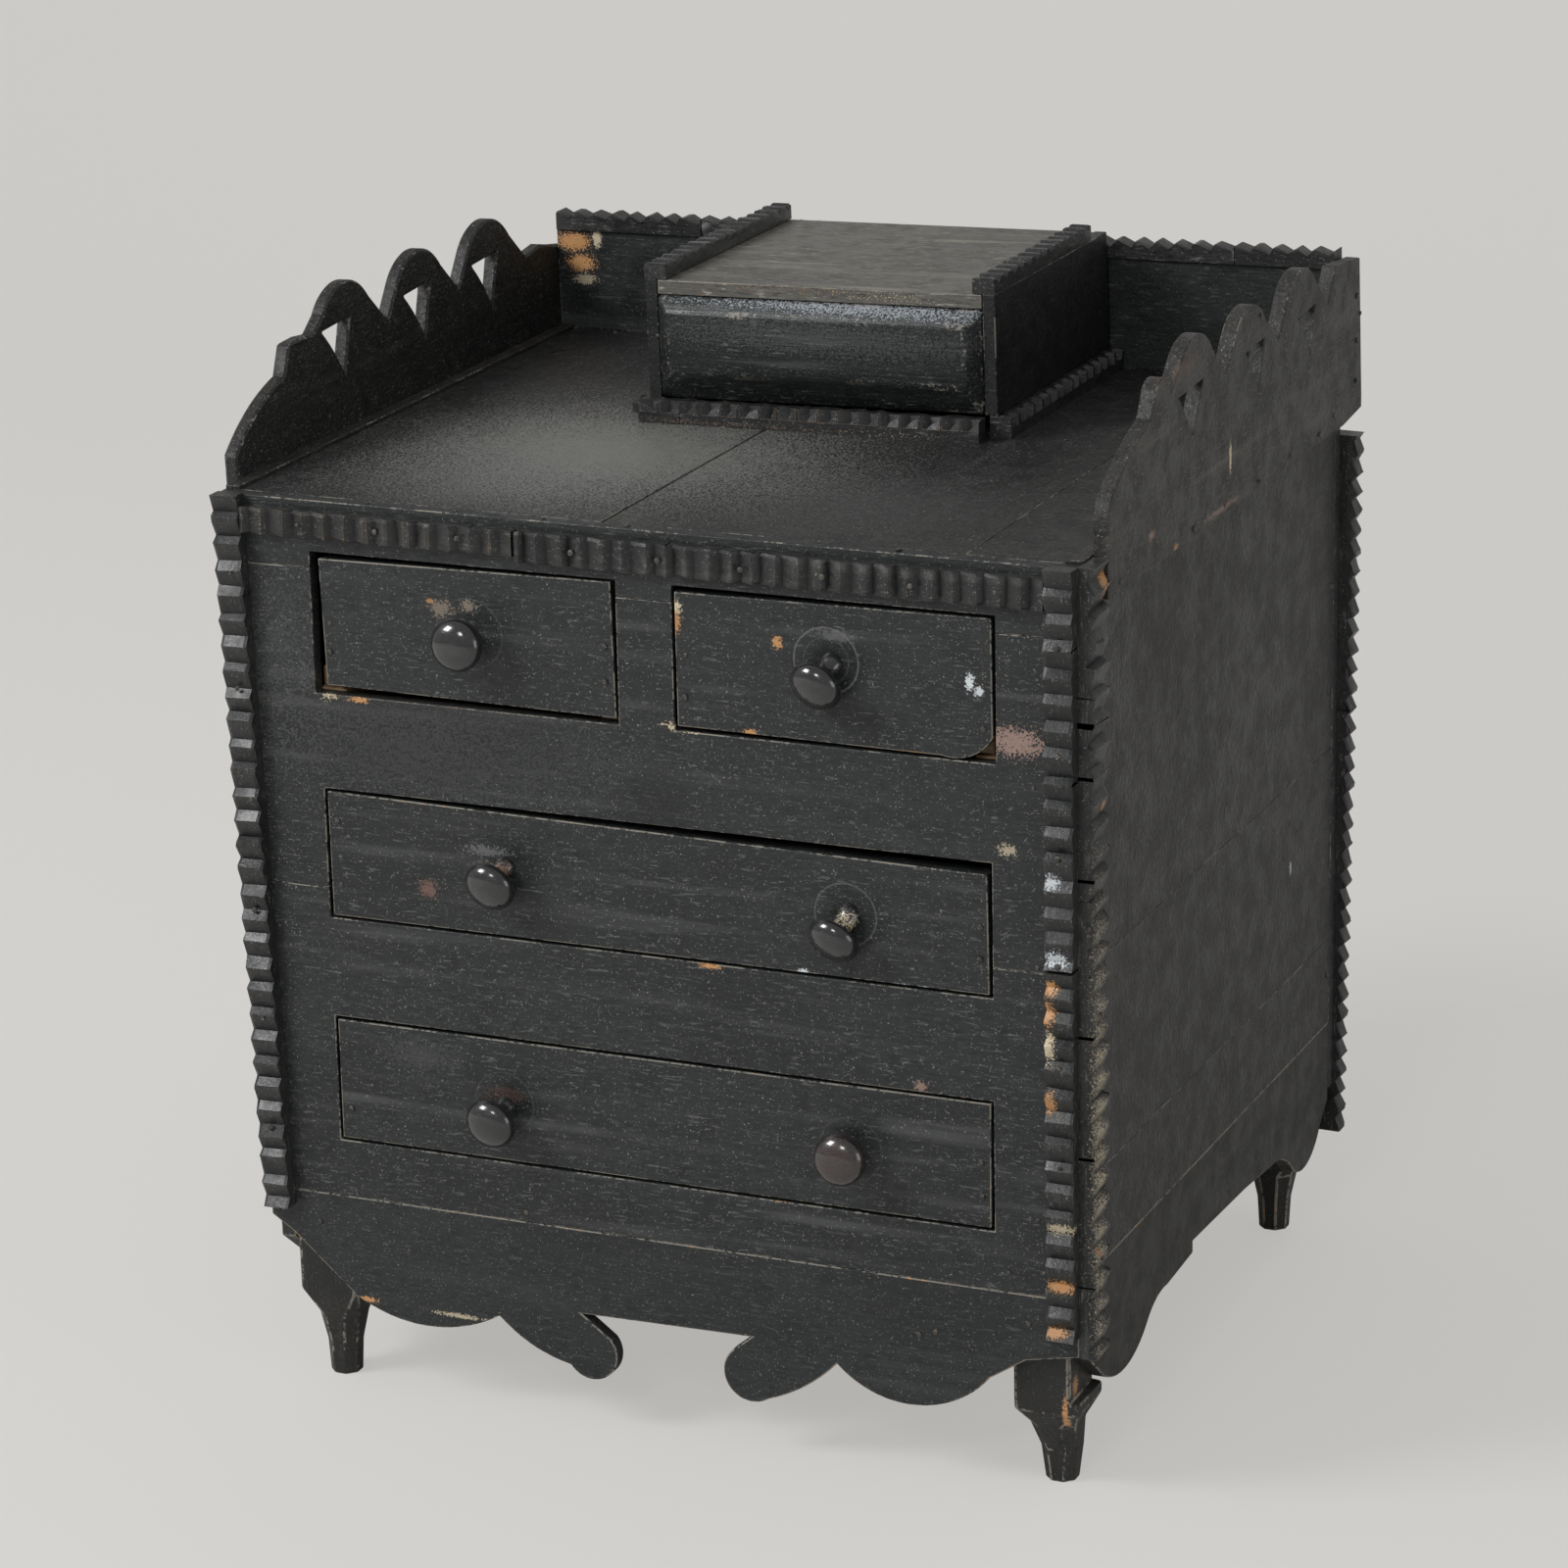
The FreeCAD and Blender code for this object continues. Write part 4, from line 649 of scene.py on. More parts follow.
def build_notched_strip():
    """A strip along X with its teeth on +Z: three columns of points to each tooth."""
    tree = bpy.data.node_groups.new("notched_strip", "GeometryNodeTree")
    tree.is_modifier = True
    numbers = ["Length", "Width", "Thickness", "Pitch", *NOTCH]
    get, put = sockets_of(tree, numbers, ["Seed"], [("Material", "NodeSocketMaterial")])
    teeth = math_node(tree, "ROUND", math_node(tree, "DIVIDE", get["Length"], get["Pitch"]))
    columns = times(tree, teeth, COLUMNS_PER_TOOTH)
    sockets = {
        "Size": (1, 1, 1),
        "Vertices X": plus(tree, columns, 1.0),
        "Vertices Y": ROWS,
        "Vertices Z": LAYERS,
    }
    stick = wired(tree, "GeometryNodeMeshCube", sockets).outputs["Mesh"]

    place = wired(tree, "GeometryNodeInputPosition", {}).outputs["Position"]
    split = wired(tree, "ShaderNodeSeparateXYZ", {"Vector": place}).outputs
    column = times(tree, plus(tree, split["X"], 0.5), columns)
    column = math_node(tree, "ROUND", column)
    row = math_node(tree, "ROUND", times_plus(tree, split["Y"], 3.0, 1.5))
    layer = math_node(tree, "ROUND", times_plus(tree, split["Z"], 2.0, 1.0))
    teeth_before = math_node(tree, "DIVIDE", plus(tree, column, 0.1), COLUMNS_PER_TOOTH)
    tooth = math_node(tree, "FLOOR", teeth_before)
    phase = minus(tree, column, times(tree, tooth, COLUMNS_PER_TOOTH))
    at_land_end = is_equal(tree, phase, 1.0)
    at_valley = is_equal(tree, phase, 2.0)
    past_start = math_node(tree, "GREATER_THAN", column, 0.5)
    before_end = math_node(tree, "LESS_THAN", column, minus(tree, columns, 0.5))
    inner = times(tree, past_start, before_end)

    step = math_node(tree, "DIVIDE", get["Length"], teeth)
    mouth = minus(tree, step, get["Land"])
    valley = times_plus(tree, mouth, get["Valley"], get["Land"])
    along = times(tree, tooth, step)
    along = times_plus(tree, at_land_end, get["Land"], along)
    along = times_plus(tree, at_valley, valley, along)
    stray = times(tree, drawn(tree, -1.0, 1.0, column, get["Seed"]), get["Unevenness"])
    stray = times(tree, stray, times(tree, step, inner))
    along = plus(tree, along, stray)
    slant_seed = plus(tree, get["Seed"], SLANT_DRAW)
    slant = times(tree, drawn(tree, -1.0, 1.0, column, slant_seed), get["Skew"])
    slant = times(tree, slant, times(tree, split["Y"], inner))
    along = plus(tree, along, slant)

    across = times(tree, is_equal(tree, row, 1.0), get["Edge"])
    far_edge = minus(tree, get["Width"], get["Edge"])
    across = times_plus(tree, is_equal(tree, row, 2.0), far_edge, across)
    across = times_plus(tree, is_equal(tree, row, 3.0), get["Width"], across)

    on_top = is_equal(tree, layer, 2.0)
    depth_seed = plus(tree, get["Seed"], DEPTH_DRAW)
    depth = times(tree, get["Depth"], drawn(tree, *DEPTH_SPREAD, tooth, depth_seed))
    lowest = math_node(tree, "MAXIMUM", get["Depth"], get["Edge"])
    shoulder = minus(tree, get["Thickness"], times(tree, lowest, 1.3))
    place_number = times_plus(tree, column, 4.0, row)
    wear = times(tree, drawn(tree, 0.0, 1.0, place_number, get["Seed"]), get["Wear"])
    outer_row = math_node(tree, "MAXIMUM", is_equal(tree, row, 0.0), is_equal(tree, row, 3.0))
    wear = times(tree, wear, times_plus(tree, outer_row, 1.6, 0.5))
    top = minus(tree, get["Thickness"], wear)
    top = minus(tree, top, times(tree, depth, at_valley))
    upward = times(tree, is_equal(tree, layer, 1.0), shoulder)
    upward = times_plus(tree, on_top, top, upward)

    corner = times(tree, at_valley, times(tree, on_top, is_equal(tree, row, 0.0)))
    cut = times(tree, get["Corner Cut"], drawn(tree, *CORNER_SPREAD, tooth, depth_seed))
    cut = times(tree, cut, corner)
    across = plus(tree, across, cut)
    upward = minus(tree, upward, cut)

    moved = wired(tree, "ShaderNodeCombineXYZ", {"X": along, "Y": across, "Z": upward}).outputs["Vector"]
    # The valley points are marked hollow, so that the paint can darken them as painted shade.
    in_hollow = times(tree, at_valley, on_top)
    sockets = {"Geometry": stick, "Name": "hollow", "Value": in_hollow}
    shaded = wired(tree, "GeometryNodeStoreNamedAttribute", sockets, data_type="FLOAT", domain="POINT")
    sockets = {"Geometry": shaded.outputs["Geometry"], "Position": moved}
    carved = wired(tree, "GeometryNodeSetPosition", sockets).outputs["Geometry"]
    return realized(tree, carved, get, put)


def grown(tree, settings, mesh=None):
    """Runs a Geometry Nodes tree once and returns the plain mesh that it makes."""
    holder = bpy.data.objects.new(tree.name, mesh or bpy.data.meshes.new(tree.name))
    bpy.context.scene.collection.objects.link(holder)
    modifier = holder.modifiers.new(tree.name, "NODES")
    modifier.node_group = tree
    for item in tree.interface.items_tree:
        if item.in_out == "INPUT" and item.name in settings:
            modifier[item.identifier] = settings[item.name]
    depsgraph = bpy.context.evaluated_depsgraph_get()
    result = bpy.data.meshes.new_from_object(holder.evaluated_get(depsgraph), depsgraph=depsgraph)
    holder.modifiers.clear()
    bpy.data.objects.remove(holder)
    return result


def separate_sticks(shape):
    """The vertices of each loose solid, in the order that the mesh lists them."""
    seen = set()
    sticks = []
    for first in shape.verts:
        if first in seen:
            continue
        seen.add(first)
        members = [first]
        for vert in members:
            for edge in vert.link_edges:
                other = edge.other_vert(vert)
                if other not in seen:
                    seen.add(other)
                    members.append(other)
        sticks.append(members)
    return sticks


def lie_of(members, length_way, teeth_way):
    """How a CAD strip lies, from its flat back and its longest edge: a matrix and three sizes."""
    faces = {face for vert in members for face in vert.link_faces}
    back = min(faces, key=lambda face: face.normal.dot(teeth_way))
    teeth = -back.normal
    run = max(back.edges, key=lambda edge: edge.calc_length())
    along = (run.verts[1].co - run.verts[0].co).normalized()
    if along.dot(length_way) < 0:
        along = -along
    ways = [along, teeth.cross(along), teeth]
    lows = [min(vert.co.dot(way) for vert in members) for way in ways]
    highs = [max(vert.co.dot(way) for vert in members) for way in ways]
    origin = sum((way * low for way, low in zip(ways, lows)), Vector())
    matrix = Matrix.Translation(origin) @ Matrix(ways).transposed().to_4x4()
    return matrix, [high - low for low, high in zip(lows, highs)]


def notched_strip(node, length_way, teeth_way, material, **changes):
    """Cuts the strips of one CAD node again, with uneven teeth, in the place of its solids."""
    source = whole_faces(node)
    shape = bmesh.new()
    ways = length_way if isinstance(length_way[0], tuple) else [length_way] * 2
    for number, members in enumerate(separate_sticks(source)):
        matrix, (length, width, thickness) = lie_of(members, Vector(ways[number]), Vector(teeth_way))
        settings = dict(NOTCH, **changes)
        settings.update({"Length": length, "Width": width, "Thickness": thickness})
        settings["Material"] = material
        settings["Seed"] = sum(ord(letter) for letter in node) + number
        mesh = grown(STRIP_TREE, settings)
        mesh.transform(matrix)
        shape.from_mesh(mesh)
        bpy.data.meshes.remove(mesh)
    source.free()
    ease_edges(shape, STRIP_ARRIS, 1)
    return finished(node + "_cut", shape, [material], node)


STRIP_TREE = build_notched_strip()
UP, FRONTWARD, BACKWARD = (0, 0, 1), (0, -1, 0), (0, 1, 0)
LEFTWARD, RIGHTWARD = (-1, 0, 0), (1, 0, 0)
WIDE_PITCH = 0.0104
FINE_PITCH = 0.009
STRIP_COLOURS = ((0.024, 0.0250, 0.0235, 1), (0.007, 0.0072, 0.007, 1), (0.15, 0.15, 0.14, 1))
RIGHT_STRIP_MARKS = [
    (173, -6, 231, (6, 5, 4), CHALK, 0.9, 1),
    (170, -6, 219, (5, 6, 4), BARE_WOOD, 1, 0.9),
    (169.5, -6, 208.5, (4, 6, 7), BARE_WOOD, 1, 0.9),
    (169.5, -6, 195, (4, 6, 8), CREAM, 1, 0.9),
    (170, -6, 172, (4, 5, 6), BARE_WOOD, 0.9, 0.9),
    (174.5, -6, 120, (8, 5, 3), CREAM, 0.8, 1),
    (174.5, -6, 96, (8, 5, 3), BARE_WOOD, 0.9, 1),
    (172, -6, 76, (7, 6, 3), BARE_WOOD, 0.9, 0.9),
    (171, -6, 262, (5, 5, 4), CHALK, 0.7, 0.9),
]
SIDE_STRIP_MARKS = [
    (187, 7, 150, (2.5, 7, 90), CREAM, 0.6, 2.4),
    (187, 12, 289, (3, 3, 3), BARE_WOOD, 1, 0.8),
    (187, 6, 109, (3, 3, 4), BARE_WOOD, 1, 0.8),
    (185, 14, 377, (4, 5, 6.5), BARE_WOOD, 0.9, 0.9),
]


def strip_paint(name, grain, shift, wear=0.92, marks=()):
    # The high wear gives the strips pale crests: partly rubbed paint, partly painted highlight.
    return painted_wood(
        name, grain, 0.3, 0.5, 0.6, 0.8, 0.9, wear=wear, colours=STRIP_COLOURS, shift=shift,
        marks=marks,
    )


left_strip_paint = strip_paint("front_strip_left_paint", "z", 6.1, wear=0.9)
right_strip_paint = strip_paint("front_strip_right_paint", "z", 6.4, marks=RIGHT_STRIP_MARKS)
side_strip_paint = strip_paint("side_strip_paint", "z", 6.7, marks=SIDE_STRIP_MARKS)
rear_strip_paint = strip_paint("rear_strip_paint", "z", 7.0, wear=0.5)
top_strip_paint = strip_paint("top_strip_paint", "x", 7.3, wear=1.15)
cap_strip_paint = strip_paint("cap_strip_paint", "x", 7.6, wear=0.6)
notched_strip("front_strip_left", UP, FRONTWARD, left_strip_paint, Pitch=WIDE_PITCH)
for part in ["lower", "upper"]:
    notched_strip(f"front_strip_right_{part}", UP, FRONTWARD, right_strip_paint, Pitch=WIDE_PITCH)
notched_strip("side_strip_left", UP, LEFTWARD, side_strip_paint, Pitch=WIDE_PITCH)
notched_strip("side_strip_right", UP, RIGHTWARD, side_strip_paint, Pitch=WIDE_PITCH, Skew=0.0034)
SHALLOW_NOTCH = {"Pitch": FINE_PITCH, "Depth": 0.0022}
for side in ["left", "right"]:
    notched_strip(f"top_strip_{side}", RIGHTWARD, FRONTWARD, top_strip_paint, **SHALLOW_NOTCH)
TURNED_NOTCH = {"Pitch": FINE_PITCH, "Valley": 0.68}
notched_strip("rear_strip_left", UP, LEFTWARD, rear_strip_paint, **TURNED_NOTCH)
notched_strip("rear_strip_right", UP, RIGHTWARD, rear_strip_paint, **TURNED_NOTCH)
notched_strip("back_cap_strip", RIGHTWARD, UP, cap_strip_paint, **TURNED_NOTCH)

# Small box: it stands on three strips notched along their upper outer arris. It has two sides, a
# back and a floor of thin board, and a thick front whittled like a pillow with streaks of the knife.
GLOSSY_COLOURS = ((0.009, 0.009, 0.0095, 1), (0.004, 0.004, 0.0045, 1), (0.05, 0.04, 0.032, 1))
BASE_MARKS = [
    (0, 160, 386.5, (85, 8, 1.3), TAN, 0.35, 1.6),
    (45, 164, 386.5, (30, 6, 1.4), CREAM, 0.4, 1.6),
]
base_strip_paint = strip_paint("base_strip_paint", "x", 7.9, wear=0.95, marks=BASE_MARKS)
ARRIS_CUT = {"Pitch": FINE_PITCH, "Depth": 0.0, "Corner Cut": 0.0066, "Edge": 0.0036, "Valley": 0.5}
notched_strip("base_strip_front", RIGHTWARD, UP, base_strip_paint, **ARRIS_CUT)
base_sides_run = [FRONTWARD, BACKWARD]
notched_strip("base_strips_side", base_sides_run, UP, base_strip_paint, **ARRIS_CUT)
box_paint = painted_wood(
    "box_paint", "y", 0.7, 0.4, 0.2, 0.3, 0.4, wear=0.5, colours=GLOSSY_COLOURS, shift=8.2
)
for member in ["side_left", "side_right", "back", "floor"]:
    eased_board(f"box_{member}", box_paint)
PILLOW_ARRIS = 0.0016
BOX_FRONT_MARKS = [
    # The marks on the pillow front are painted light: a pale bluish reflection along its upper bevel,
    # painted shade on its lower bevel and a faint painted sheen across its middle.
    (0, 180, 437.5, (105, 6, 5.6), (0.34, 0.37, 0.40, 1), 0.85, 1.2),
    (0, 180, 404, (85, 6, 8), PAINT_SUNKEN, 0.85, 0.5),
    (0, 179, 423, (80, 6, 8), PALE_WEAR_AND_SHEEN, 0.25, 1.7),
]
box_front_paint = painted_wood(
    "box_front_paint", "x", crackle=0.2, grain_depth=1.2, rubbing=0.7, dust=0.5, gloss=1.1,
    wear=0.45, shift=8.5, marks=BOX_FRONT_MARKS,
)
eased_board("box_front", box_front_paint, arris=PILLOW_ARRIS, segments=3)

# Strips along the tops of the box's sides: they lap over the lid and hold it down while it
# slides. The rounded notches run across them.
lid_strip_paint = strip_paint("lid_strip_paint", "y", 8.8, wear=0.5)
ROUNDED_NOTCH = dict(SHALLOW_NOTCH, Land=0.0022, Valley=0.5)
notched_strip("lid_strips", BACKWARD, UP, lid_strip_paint, **ROUNDED_NOTCH)

# Lid of the small box: two thin boards with their grain across, slid in from the front. Fingers
# have worn the paint down to the grain, and through it along the front edge.
LID_COLOURS = ((0.125, 0.120, 0.104, 1), (0.045, 0.043, 0.037, 1), (0.36, 0.335, 0.28, 1))
LID_MARKS = [
    (0, 226, 443, (75, 0.45, 6), PAINT_SUNKEN, 0.9, 0.12),
    (0, 180.5, 441.5, (70, 3, 3), BARE_WOOD, 0.75, 1.6),
    (30, 181, 441, (30, 3, 2.6), CREAM, 0.7, 1.6),
]
lid_wood = painted_wood(
    "worn_lid_wood", "x", crackle=0.0, grain_depth=1.2, rubbing=0.95, dust=0.5, gloss=0.3, wear=0.8,
    patches=0.6, colours=LID_COLOURS, shift=9.1, marks=LID_MARKS,
)
lid = eased_board("box_lid", lid_wood)

# Drawers: a front board that fills its opening, two nailed walls, a back and a bottom of bare
# softwood. The fronts were cut by eye and stand in their openings with uneven gaps.
DRAWER_ARRIS = 0.0005
DRAWER_MARKS = {
    "small_left": [
        (-88.1, 0, 345.5, (6.4, 2, 4.2), (0.20, 0.16, 0.12, 1), 0.9, 1.1),
        (-76, 0, 347.5, (5, 2, 3.2), (0.22, 0.18, 0.14, 1), 0.9, 1),
        (-93, 0, 348, (2, 2, 1.4), BARE_WOOD, 0.6, 0.8),
    ],
    "small_right": [
        (13, 0, 355.1, (4.4, 2, 4.6), CREAM, 1, 0.7),
        (14, 0, 349, (2.6, 2, 6), BARE_WOOD, 0.8, 0.9),
        (56.7, 0, 344.9, (2.8, 2, 3), BARE_WOOD, 1, 0.8),
        (44.7, 0, 307.4, (4.4, 2, 2), BARE_WOOD, 1, 0.7),
        (136.5, 0, 336.5, (2.4, 2, 5), CHALK, 1, 0.8),
        (140, 0, 333.3, (3, 2, 2.4), CHALK, 0.9, 0.8),
        (77.1, 0, 339.4, (11, 2, 11), PAINT_SUNKEN, 0.6, 0.5),
        (82, 0, 350, (10, 2, 3), PALE_WEAR_AND_SHEEN, 0.5, 1.1),
    ],
    "middle": [
        (-69.1, 0, 237.6, (9, 2, 5), (0.22, 0.16, 0.12, 1), 0.7, 1.2),
        (-99, 0, 227.2, (5, 2, 4.6), (0.17, 0.09, 0.07, 1), 0.8, 1.2),
        (-72, 0, 246, (12, 2, 3), PALE_WEAR_AND_SHEEN, 0.7, 1.2),
        (65.1, 0, 211.4, (3, 2, 1.8), CHALK, 1, 0.8),
        (107.8, 0, 210.4, (3, 2, 1.6), CHALK, 0.8, 0.8),
        (116.1, 0, 210.2, (2.6, 2, 1.6), CHALK, 0.8, 0.8),
        (80, 0, 231, (4, 2, 5), CREAM, 0.8, 0.9),
        (83.5, 0, 234.6, (10, 2, 10), PAINT_SUNKEN, 0.6, 0.7),
    ],
    "bottom": [
        (-105, 0, 155, (20, 2, 8), PALE_WEAR_AND_SHEEN, 0.16, 1.3),
        (-68, 0, 142.5, (11, 2, 4), RED_BROWN, 0.25, 1.2),
    ],
}
DRAWER_RINGS = {
    "small_left": [(-76, 336, 14.5, 0.15)],
    "small_right": [(77.1, 339.4, 13.5, 0.55), (77.1, 339.4, 9.5, 0.2)],
    "middle": [(83.5, 237, 13, 0.4)],
    "bottom": [(-68, 139, 13, 0.15), (84, 139, 13.5, 0.12)],
}
tray_wood = painted_wood(
    "tray_wood", "y", 0.0, 0.8, 0.7, 0.1, 0.1, wear=0.0, colours=SOFTWOOD_COLOURS, shift=9.9,
)
for step, drawer in enumerate(DRAWER_MARKS):
    paint = painted_wood(
        f"drawer_{drawer}_paint", "x", crackle=0.3, grain_depth=0.8, rubbing=0.6, dust=0.8,
        gloss=0.6, wear=0.70, shift=10.3 + 0.43 * step, marks=DRAWER_MARKS[drawer],
        rings=DRAWER_RINGS[drawer],
    )
    eased_board(f"drawer_{drawer}_front", paint, arris=DRAWER_ARRIS, bare_side=INWARDS)
    for member in ["walls", "bottom"]:
        tray = eased_board(f"drawer_{drawer}_{member}", tray_wood)

# Knobs: turned mushrooms on short stems, the glossiest paint on the chest. Four are loose in
# their holes, so they droop and swing aside.
KNOB_SIDES = 48
KNOB_RADIUS = 11.0
STEM_STEPS, LIP_STEPS, CROWN_STEPS = 6, 4, 12
LIP_SHARE = 0.9
CROWN_ROUNDNESS = 0.85
STEM_ROOT, STEM_WAIST, STEM_LENGTH = 5.0, 3.9, 8.5
KNOB_UNDERSIDE, KNOB_RIM, KNOB_CROWN = 9.5, 11.4, 18.0
LOOSE_ROOT = -5.9
KNOB_SPOTS = {
    "drawer_small_left_knob": [(-76, 334.5, 0, 0)],
    "drawer_small_right_knob": [(79, 337.5, 28, 12)],
    "drawer_middle_knobs": [(-64.5, 239.5, 22, 6), (84.5, 236, 34, 14)],
    "drawer_bottom_knobs": [(-68, 136.5, 14, 6), (84, 139, 0, 0)],
}


def knob_profile(loose):
    """Radius and distance from the drawer front, from the root of the stem to the crown."""
    profile = [(STEM_ROOT, LOOSE_ROOT)] if loose else []
    for step in range(STEM_STEPS + 1):
        share = step / STEM_STEPS
        reach = STEM_WAIST + (STEM_ROOT - STEM_WAIST) * (2 * share - 1) ** 2
        profile.append((reach, STEM_LENGTH * share))
    for step in range(1, LIP_STEPS + 1):
        share = step / LIP_STEPS
        reach = STEM_ROOT + (LIP_SHARE * KNOB_RADIUS - STEM_ROOT) * share
        profile.append((reach, STEM_LENGTH + (KNOB_UNDERSIDE - STEM_LENGTH) * share**2))
    for step in range(1, LIP_STEPS + 1):
        turn = math.radians(90 * step / LIP_STEPS)
        reach = KNOB_RADIUS * (LIP_SHARE + (1 - LIP_SHARE) * math.sin(turn))
        profile.append((reach, KNOB_UNDERSIDE + (KNOB_RIM - KNOB_UNDERSIDE) * (1 - math.cos(turn))))
    for step in range(1, CROWN_STEPS):
        turn = math.radians(90 * step / CROWN_STEPS)
        reach = KNOB_RADIUS * math.cos(turn) ** CROWN_ROUNDNESS
        profile.append((reach, KNOB_RIM + (KNOB_CROWN - KNOB_RIM) * math.sin(turn)))
    return profile


def turned_knob(shape, at_x, at_z, droop, aside):
    """Turns one knob into the bmesh, drooping and swung aside by degrees."""
    turns = [2 * math.pi * step / KNOB_SIDES for step in range(KNOB_SIDES)]
    round_points = [(math.cos(turn), math.sin(turn)) for turn in turns]
    rings = []
    for reach, along in knob_profile(droop > 0):
        rings.append([shape.verts.new((reach * x, reach * y, along)) for x, y in round_points])
    for lower, upper in zip(rings, rings[1:]):
        for step in range(KNOB_SIDES):
            after = (step + 1) % KNOB_SIDES
            shape.faces.new((lower[step], lower[after], upper[after], upper[step]))
    shape.faces.new(rings[0][::-1])
    crown = shape.verts.new((0, 0, KNOB_CROWN))
    for step in range(KNOB_SIDES):
        shape.faces.new((rings[-1][step], rings[-1][(step + 1) % KNOB_SIDES], crown))
    swing = Matrix.Rotation(math.radians(-aside), 4, "Z")
    turn = swing @ Matrix.Rotation(math.radians(90 + droop), 4, "X")
    members = [vert for ring in rings for vert in ring] + [crown]
    matrix = Matrix.Translation(on_case(at_x, 0, at_z)) @ turn @ Matrix.Scale(0.001, 4)
    bmesh.ops.transform(shape, matrix=matrix, verts=members)


KNOB_MARKS = [
    (84.5, -3, 235, (6, 6, 5), CREAM, 0.7, 1.2),
    (80, -6, 233, (4, 5, 4), BARE_WOOD, 0.6, 1),
    (-63, -5, 240.5, (7, 5, 3), (0.25, 0.16, 0.11, 1), 0.7, 1),
    (84, -16, 139, (14, 8, 14), RED_BROWN, 0.16, 1.8),
]
knob_paint = painted_wood(
    "knob_paint", "x", crackle=0.1, grain_depth=0.15, rubbing=0.3, dust=0.15, gloss=1.4,
    relief=0.0001, colours=GLOSSY_COLOURS, shift=12.4, marks=KNOB_MARKS,
)
knob_surface = knob_paint.node_tree.nodes["Principled BSDF"]
knob_surface.inputs["Coat Weight"].default_value = 1.0
knob_surface.inputs["Coat Roughness"].default_value = 0.07
for node, spots in KNOB_SPOTS.items():
    shape = bmesh.new()
    for spot in spots:
        turned_knob(shape, *spot)
    for face in shape.faces:
        face.smooth = True
    finished(node + "_turned", shape, [knob_paint], node)

# Nails: small wire nails, driven by hand and painted over, so their heads are dark bumps with a
# dull glint. They hold the boards, the strips, the galleries, the small box and the drawer fronts.
NAIL_RADIUS = 0.0012
NAIL_STRAY, NAIL_LIFT = 1.6, 0.5
NAIL_TILT = 0.25
NAIL_FLATNESS = 0.42
NAIL_SEED = 40
nail_hand = random.Random(190)


def build_nail_heads():
    """A flat dome of random tilt and size on each point, lying on the face that it was driven into."""
    tree = bpy.data.node_groups.new("nail_heads", "GeometryNodeTree")
    tree.is_modifier = True
    others = {"Points": "Geometry", "Facing": "Vector", "Material": "Material"}
    others = [(label, "NodeSocket" + kind) for label, kind in others.items()]
    get, put = sockets_of(tree, ["Radius"], ["Seed"], others)
    dome = wired(tree, "GeometryNodeMeshUVSphere", {"Segments": 10, "Rings": 6, "Radius": get["Radius"]})
    sockets = {"Geometry": dome.outputs["Mesh"], "Scale": (1.0, 1.0, NAIL_FLATNESS)}
    flat = wired(tree, "GeometryNodeTransform", sockets)
    number = wired(tree, "GeometryNodeInputIndex", {}).outputs["Index"]
    sockets = {0: (-NAIL_TILT,) * 3, 1: (NAIL_TILT,) * 3, 7: number, 8: get["Seed"]}
    tilt = wired(tree, "FunctionNodeRandomValue", sockets, data_type="FLOAT_VECTOR").outputs[0]
    facing = vector_math(tree, "ADD", get["Facing"], tilt)
    aligned = wired(tree, "FunctionNodeAlignRotationToVector", {"Vector": facing}, axis="Z")
    spread = drawn(tree, 0.7, 1.25, number, get["Seed"])
    sockets = {
        "Points": get["Points"],
        "Instance": flat.outputs["Geometry"],
        "Rotation": aligned.outputs["Rotation"],
        "Scale": spread,
    }
    heads = wired(tree, "GeometryNodeInstanceOnPoints", sockets).outputs["Instances"]
    return realized(tree, heads, get, put)


NAIL_TREE = build_nail_heads()
nail_iron = painted_wood(
    "painted_nail_iron", "x", crackle=0.4, grain_depth=0.1, rubbing=0.8, dust=0.9, gloss=0.6,
    wear=0.0, colours=((0.045, 0.040, 0.034, 1), (0.014, 0.012, 0.010, 1), (0.22, 0.19, 0.15, 1)),
    shift=13.1,
)


def nail_rows(*rows):
    """Nails driven by eye; a row is its start, its end, in millimetres on the case, and a count."""
    points = []
    for start, end, count in rows:
        strays = [NAIL_LIFT if low == high else NAIL_STRAY for low, high in zip(start, end)]
        for step in range(count):
            share = (step + 0.5) / count
            spot = [low + (high - low) * share for low, high in zip(start, end)]
            wander = [nail_hand.uniform(-stray, stray) for stray in strays]
            points.append([value + shift for value, shift in zip(spot, wander)])
    return points


def nails(name, body, rows):
    """One mesh of heads on one body; rows hold a facing direction and its points."""
    shape = bmesh.new()
    for number, (facing, points) in enumerate(rows):
        mesh = bpy.data.meshes.new(name)
        mesh.from_pydata([on_case(*point) for point in points], [], [])
        settings = {"Radius": NAIL_RADIUS, "Seed": NAIL_SEED + number}
        settings.update({"Facing": facing, "Material": nail_iron})
        heads = grown(NAIL_TREE, settings, mesh)
        shape.from_mesh(heads)
        bpy.data.meshes.remove(heads)
    for face in shape.faces:
        face.smooth = True
    piece = piece_of(name, shape, [nail_iron])
    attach(piece, body)


LEAN = math.tan(math.radians(1.5))


def left_face(z):
    return -180.0 - (z - 144.0) * LEAN


